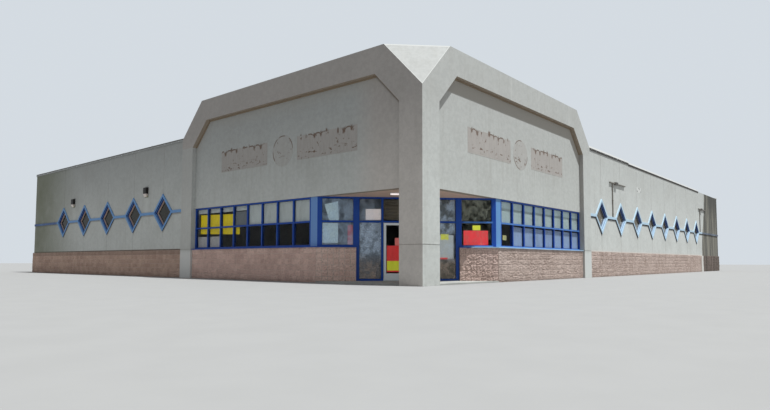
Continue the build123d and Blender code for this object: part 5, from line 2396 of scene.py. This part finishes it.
@dataclass
class Studio:
    """The plain floor, the soft light and the camera at the photograph's viewpoint."""

    eye: tuple[float, float, float] = (-6.8785, -5.086, 0.366)
    yaw: float = math.radians(40.18)
    pitch: float = math.radians(3.578)
    roll: float = math.radians(0.12)
    focal_pixels: float = 581.432
    image_width: float = 770.0
    axis_below_centre: float = 20.0
    sensor: float = 36.0
    to_sun: tuple[float, float, float] = (0.10, -0.32, 0.945)
    sun_strength: float = 5.0
    sun_angle: float = math.radians(0.9)
    ambient: float = 0.47
    sun: Colour = (0.97, 1.0, 1.0)
    sky: Colour = (0.87, 0.905, 0.955)
    backdrop: Colour = (0.66, 0.71, 0.76)
    floor_colour: Colour = (0.32, 0.315, 0.31)
    floor_size: float = 160.0

    def build(self) -> None:
        """Sets up the whole studio."""
        self._camera()
        self._lights()
        self._world()
        self._floor()
        bpy.context.scene.view_settings.view_transform = "Standard"

    def _camera(self) -> None:
        """The camera, from the fit of the building's edges in the photograph."""
        ahead = Vector((math.cos(self.yaw), math.sin(self.yaw), 0))
        forward = ahead * math.cos(self.pitch) + UP * math.sin(self.pitch)
        level = Vector((math.sin(self.yaw), -math.cos(self.yaw), 0))
        lifted = level.cross(forward)
        right = level * math.cos(self.roll) + lifted * math.sin(self.roll)
        up = lifted * math.cos(self.roll) - level * math.sin(self.roll)
        data = bpy.data.cameras.new("photo_camera")
        data.lens = self.focal_pixels / self.image_width * self.sensor
        data.sensor_width = self.sensor
        data.shift_y = self.axis_below_centre / self.image_width
        data.clip_end = 500.0
        camera = bpy.data.objects.new("photo_camera", data)
        turn = Matrix((right, up, -forward)).transposed().to_4x4()
        camera.matrix_world = Matrix.Translation(SITE.corner + Vector(self.eye)) @ turn
        bpy.context.scene.collection.objects.link(camera)
        bpy.context.scene.camera = camera

    def _lights(self) -> None:
        """One large soft key from the side of the right front."""
        data = bpy.data.lights.new("key", "SUN")
        data.energy = self.sun_strength
        data.angle = self.sun_angle
        data.color = self.sun
        key = bpy.data.objects.new("key", data)
        key.rotation_mode = "QUATERNION"
        key.rotation_quaternion = Vector(self.to_sun).to_track_quat("Z", "Y")
        bpy.context.scene.collection.objects.link(key)

    def _world(self) -> None:
        """Even light all round; the camera and see-through rays find the pale backdrop."""
        world = bpy.data.worlds.new("studio")
        world.use_nodes = True
        g = Graph(world.node_tree)
        g.tree.nodes.clear()
        path = g.node("ShaderNodeLightPath", output="Is Camera Ray")
        seen = path.larger(path.output("Is Transmission Ray"))
        soft = g.node("ShaderNodeBackground", {"Color": (*self.sky, 1.0), "Strength": self.ambient})
        pale = g.node("ShaderNodeBackground", {"Color": (*self.backdrop, 1.0), "Strength": 1.0})
        both = g.node("ShaderNodeMixShader", {0: seen, 1: soft, 2: pale})
        g.node("ShaderNodeOutputWorld", {"Surface": both})
        bpy.context.scene.world = world

    def _floor(self) -> None:
        """The floor, level with the foot of the building."""
        shape, size = Shape(), self.floor_size
        shape.box(Facing((EAST + NORTH) * (-size / 2), EAST, NORTH), (0, size), (-0.05, -0.001), (0, size))
        g = Surface("studio_floor_paint")
        colour = g.mix(g.blots(3.0, 3.0).ramp(0.3, 0.7), self.floor_colour, shade(self.floor_colour, 0.97))
        shape.finish("studio_floor", g.principled(base_color=colour, roughness=0.9))


def main() -> None:
    """Builds the looks piece by piece."""
    logging.basicConfig(level=logging.INFO, format="%(name)s: %(message)s")
    palette = Palette()
    palette.dress_nodes()
    BlockWork(palette).build()
    glazing = Glazing(palette)
    glazing.build()
    Backings(glazing).build()
    Slats().build()
    for assembly in (Copings, RecessStrips, Hardware, Fixtures, Roof):
        assembly(palette).build()
    Studio().build()


if __name__ == "__main__":
    main()
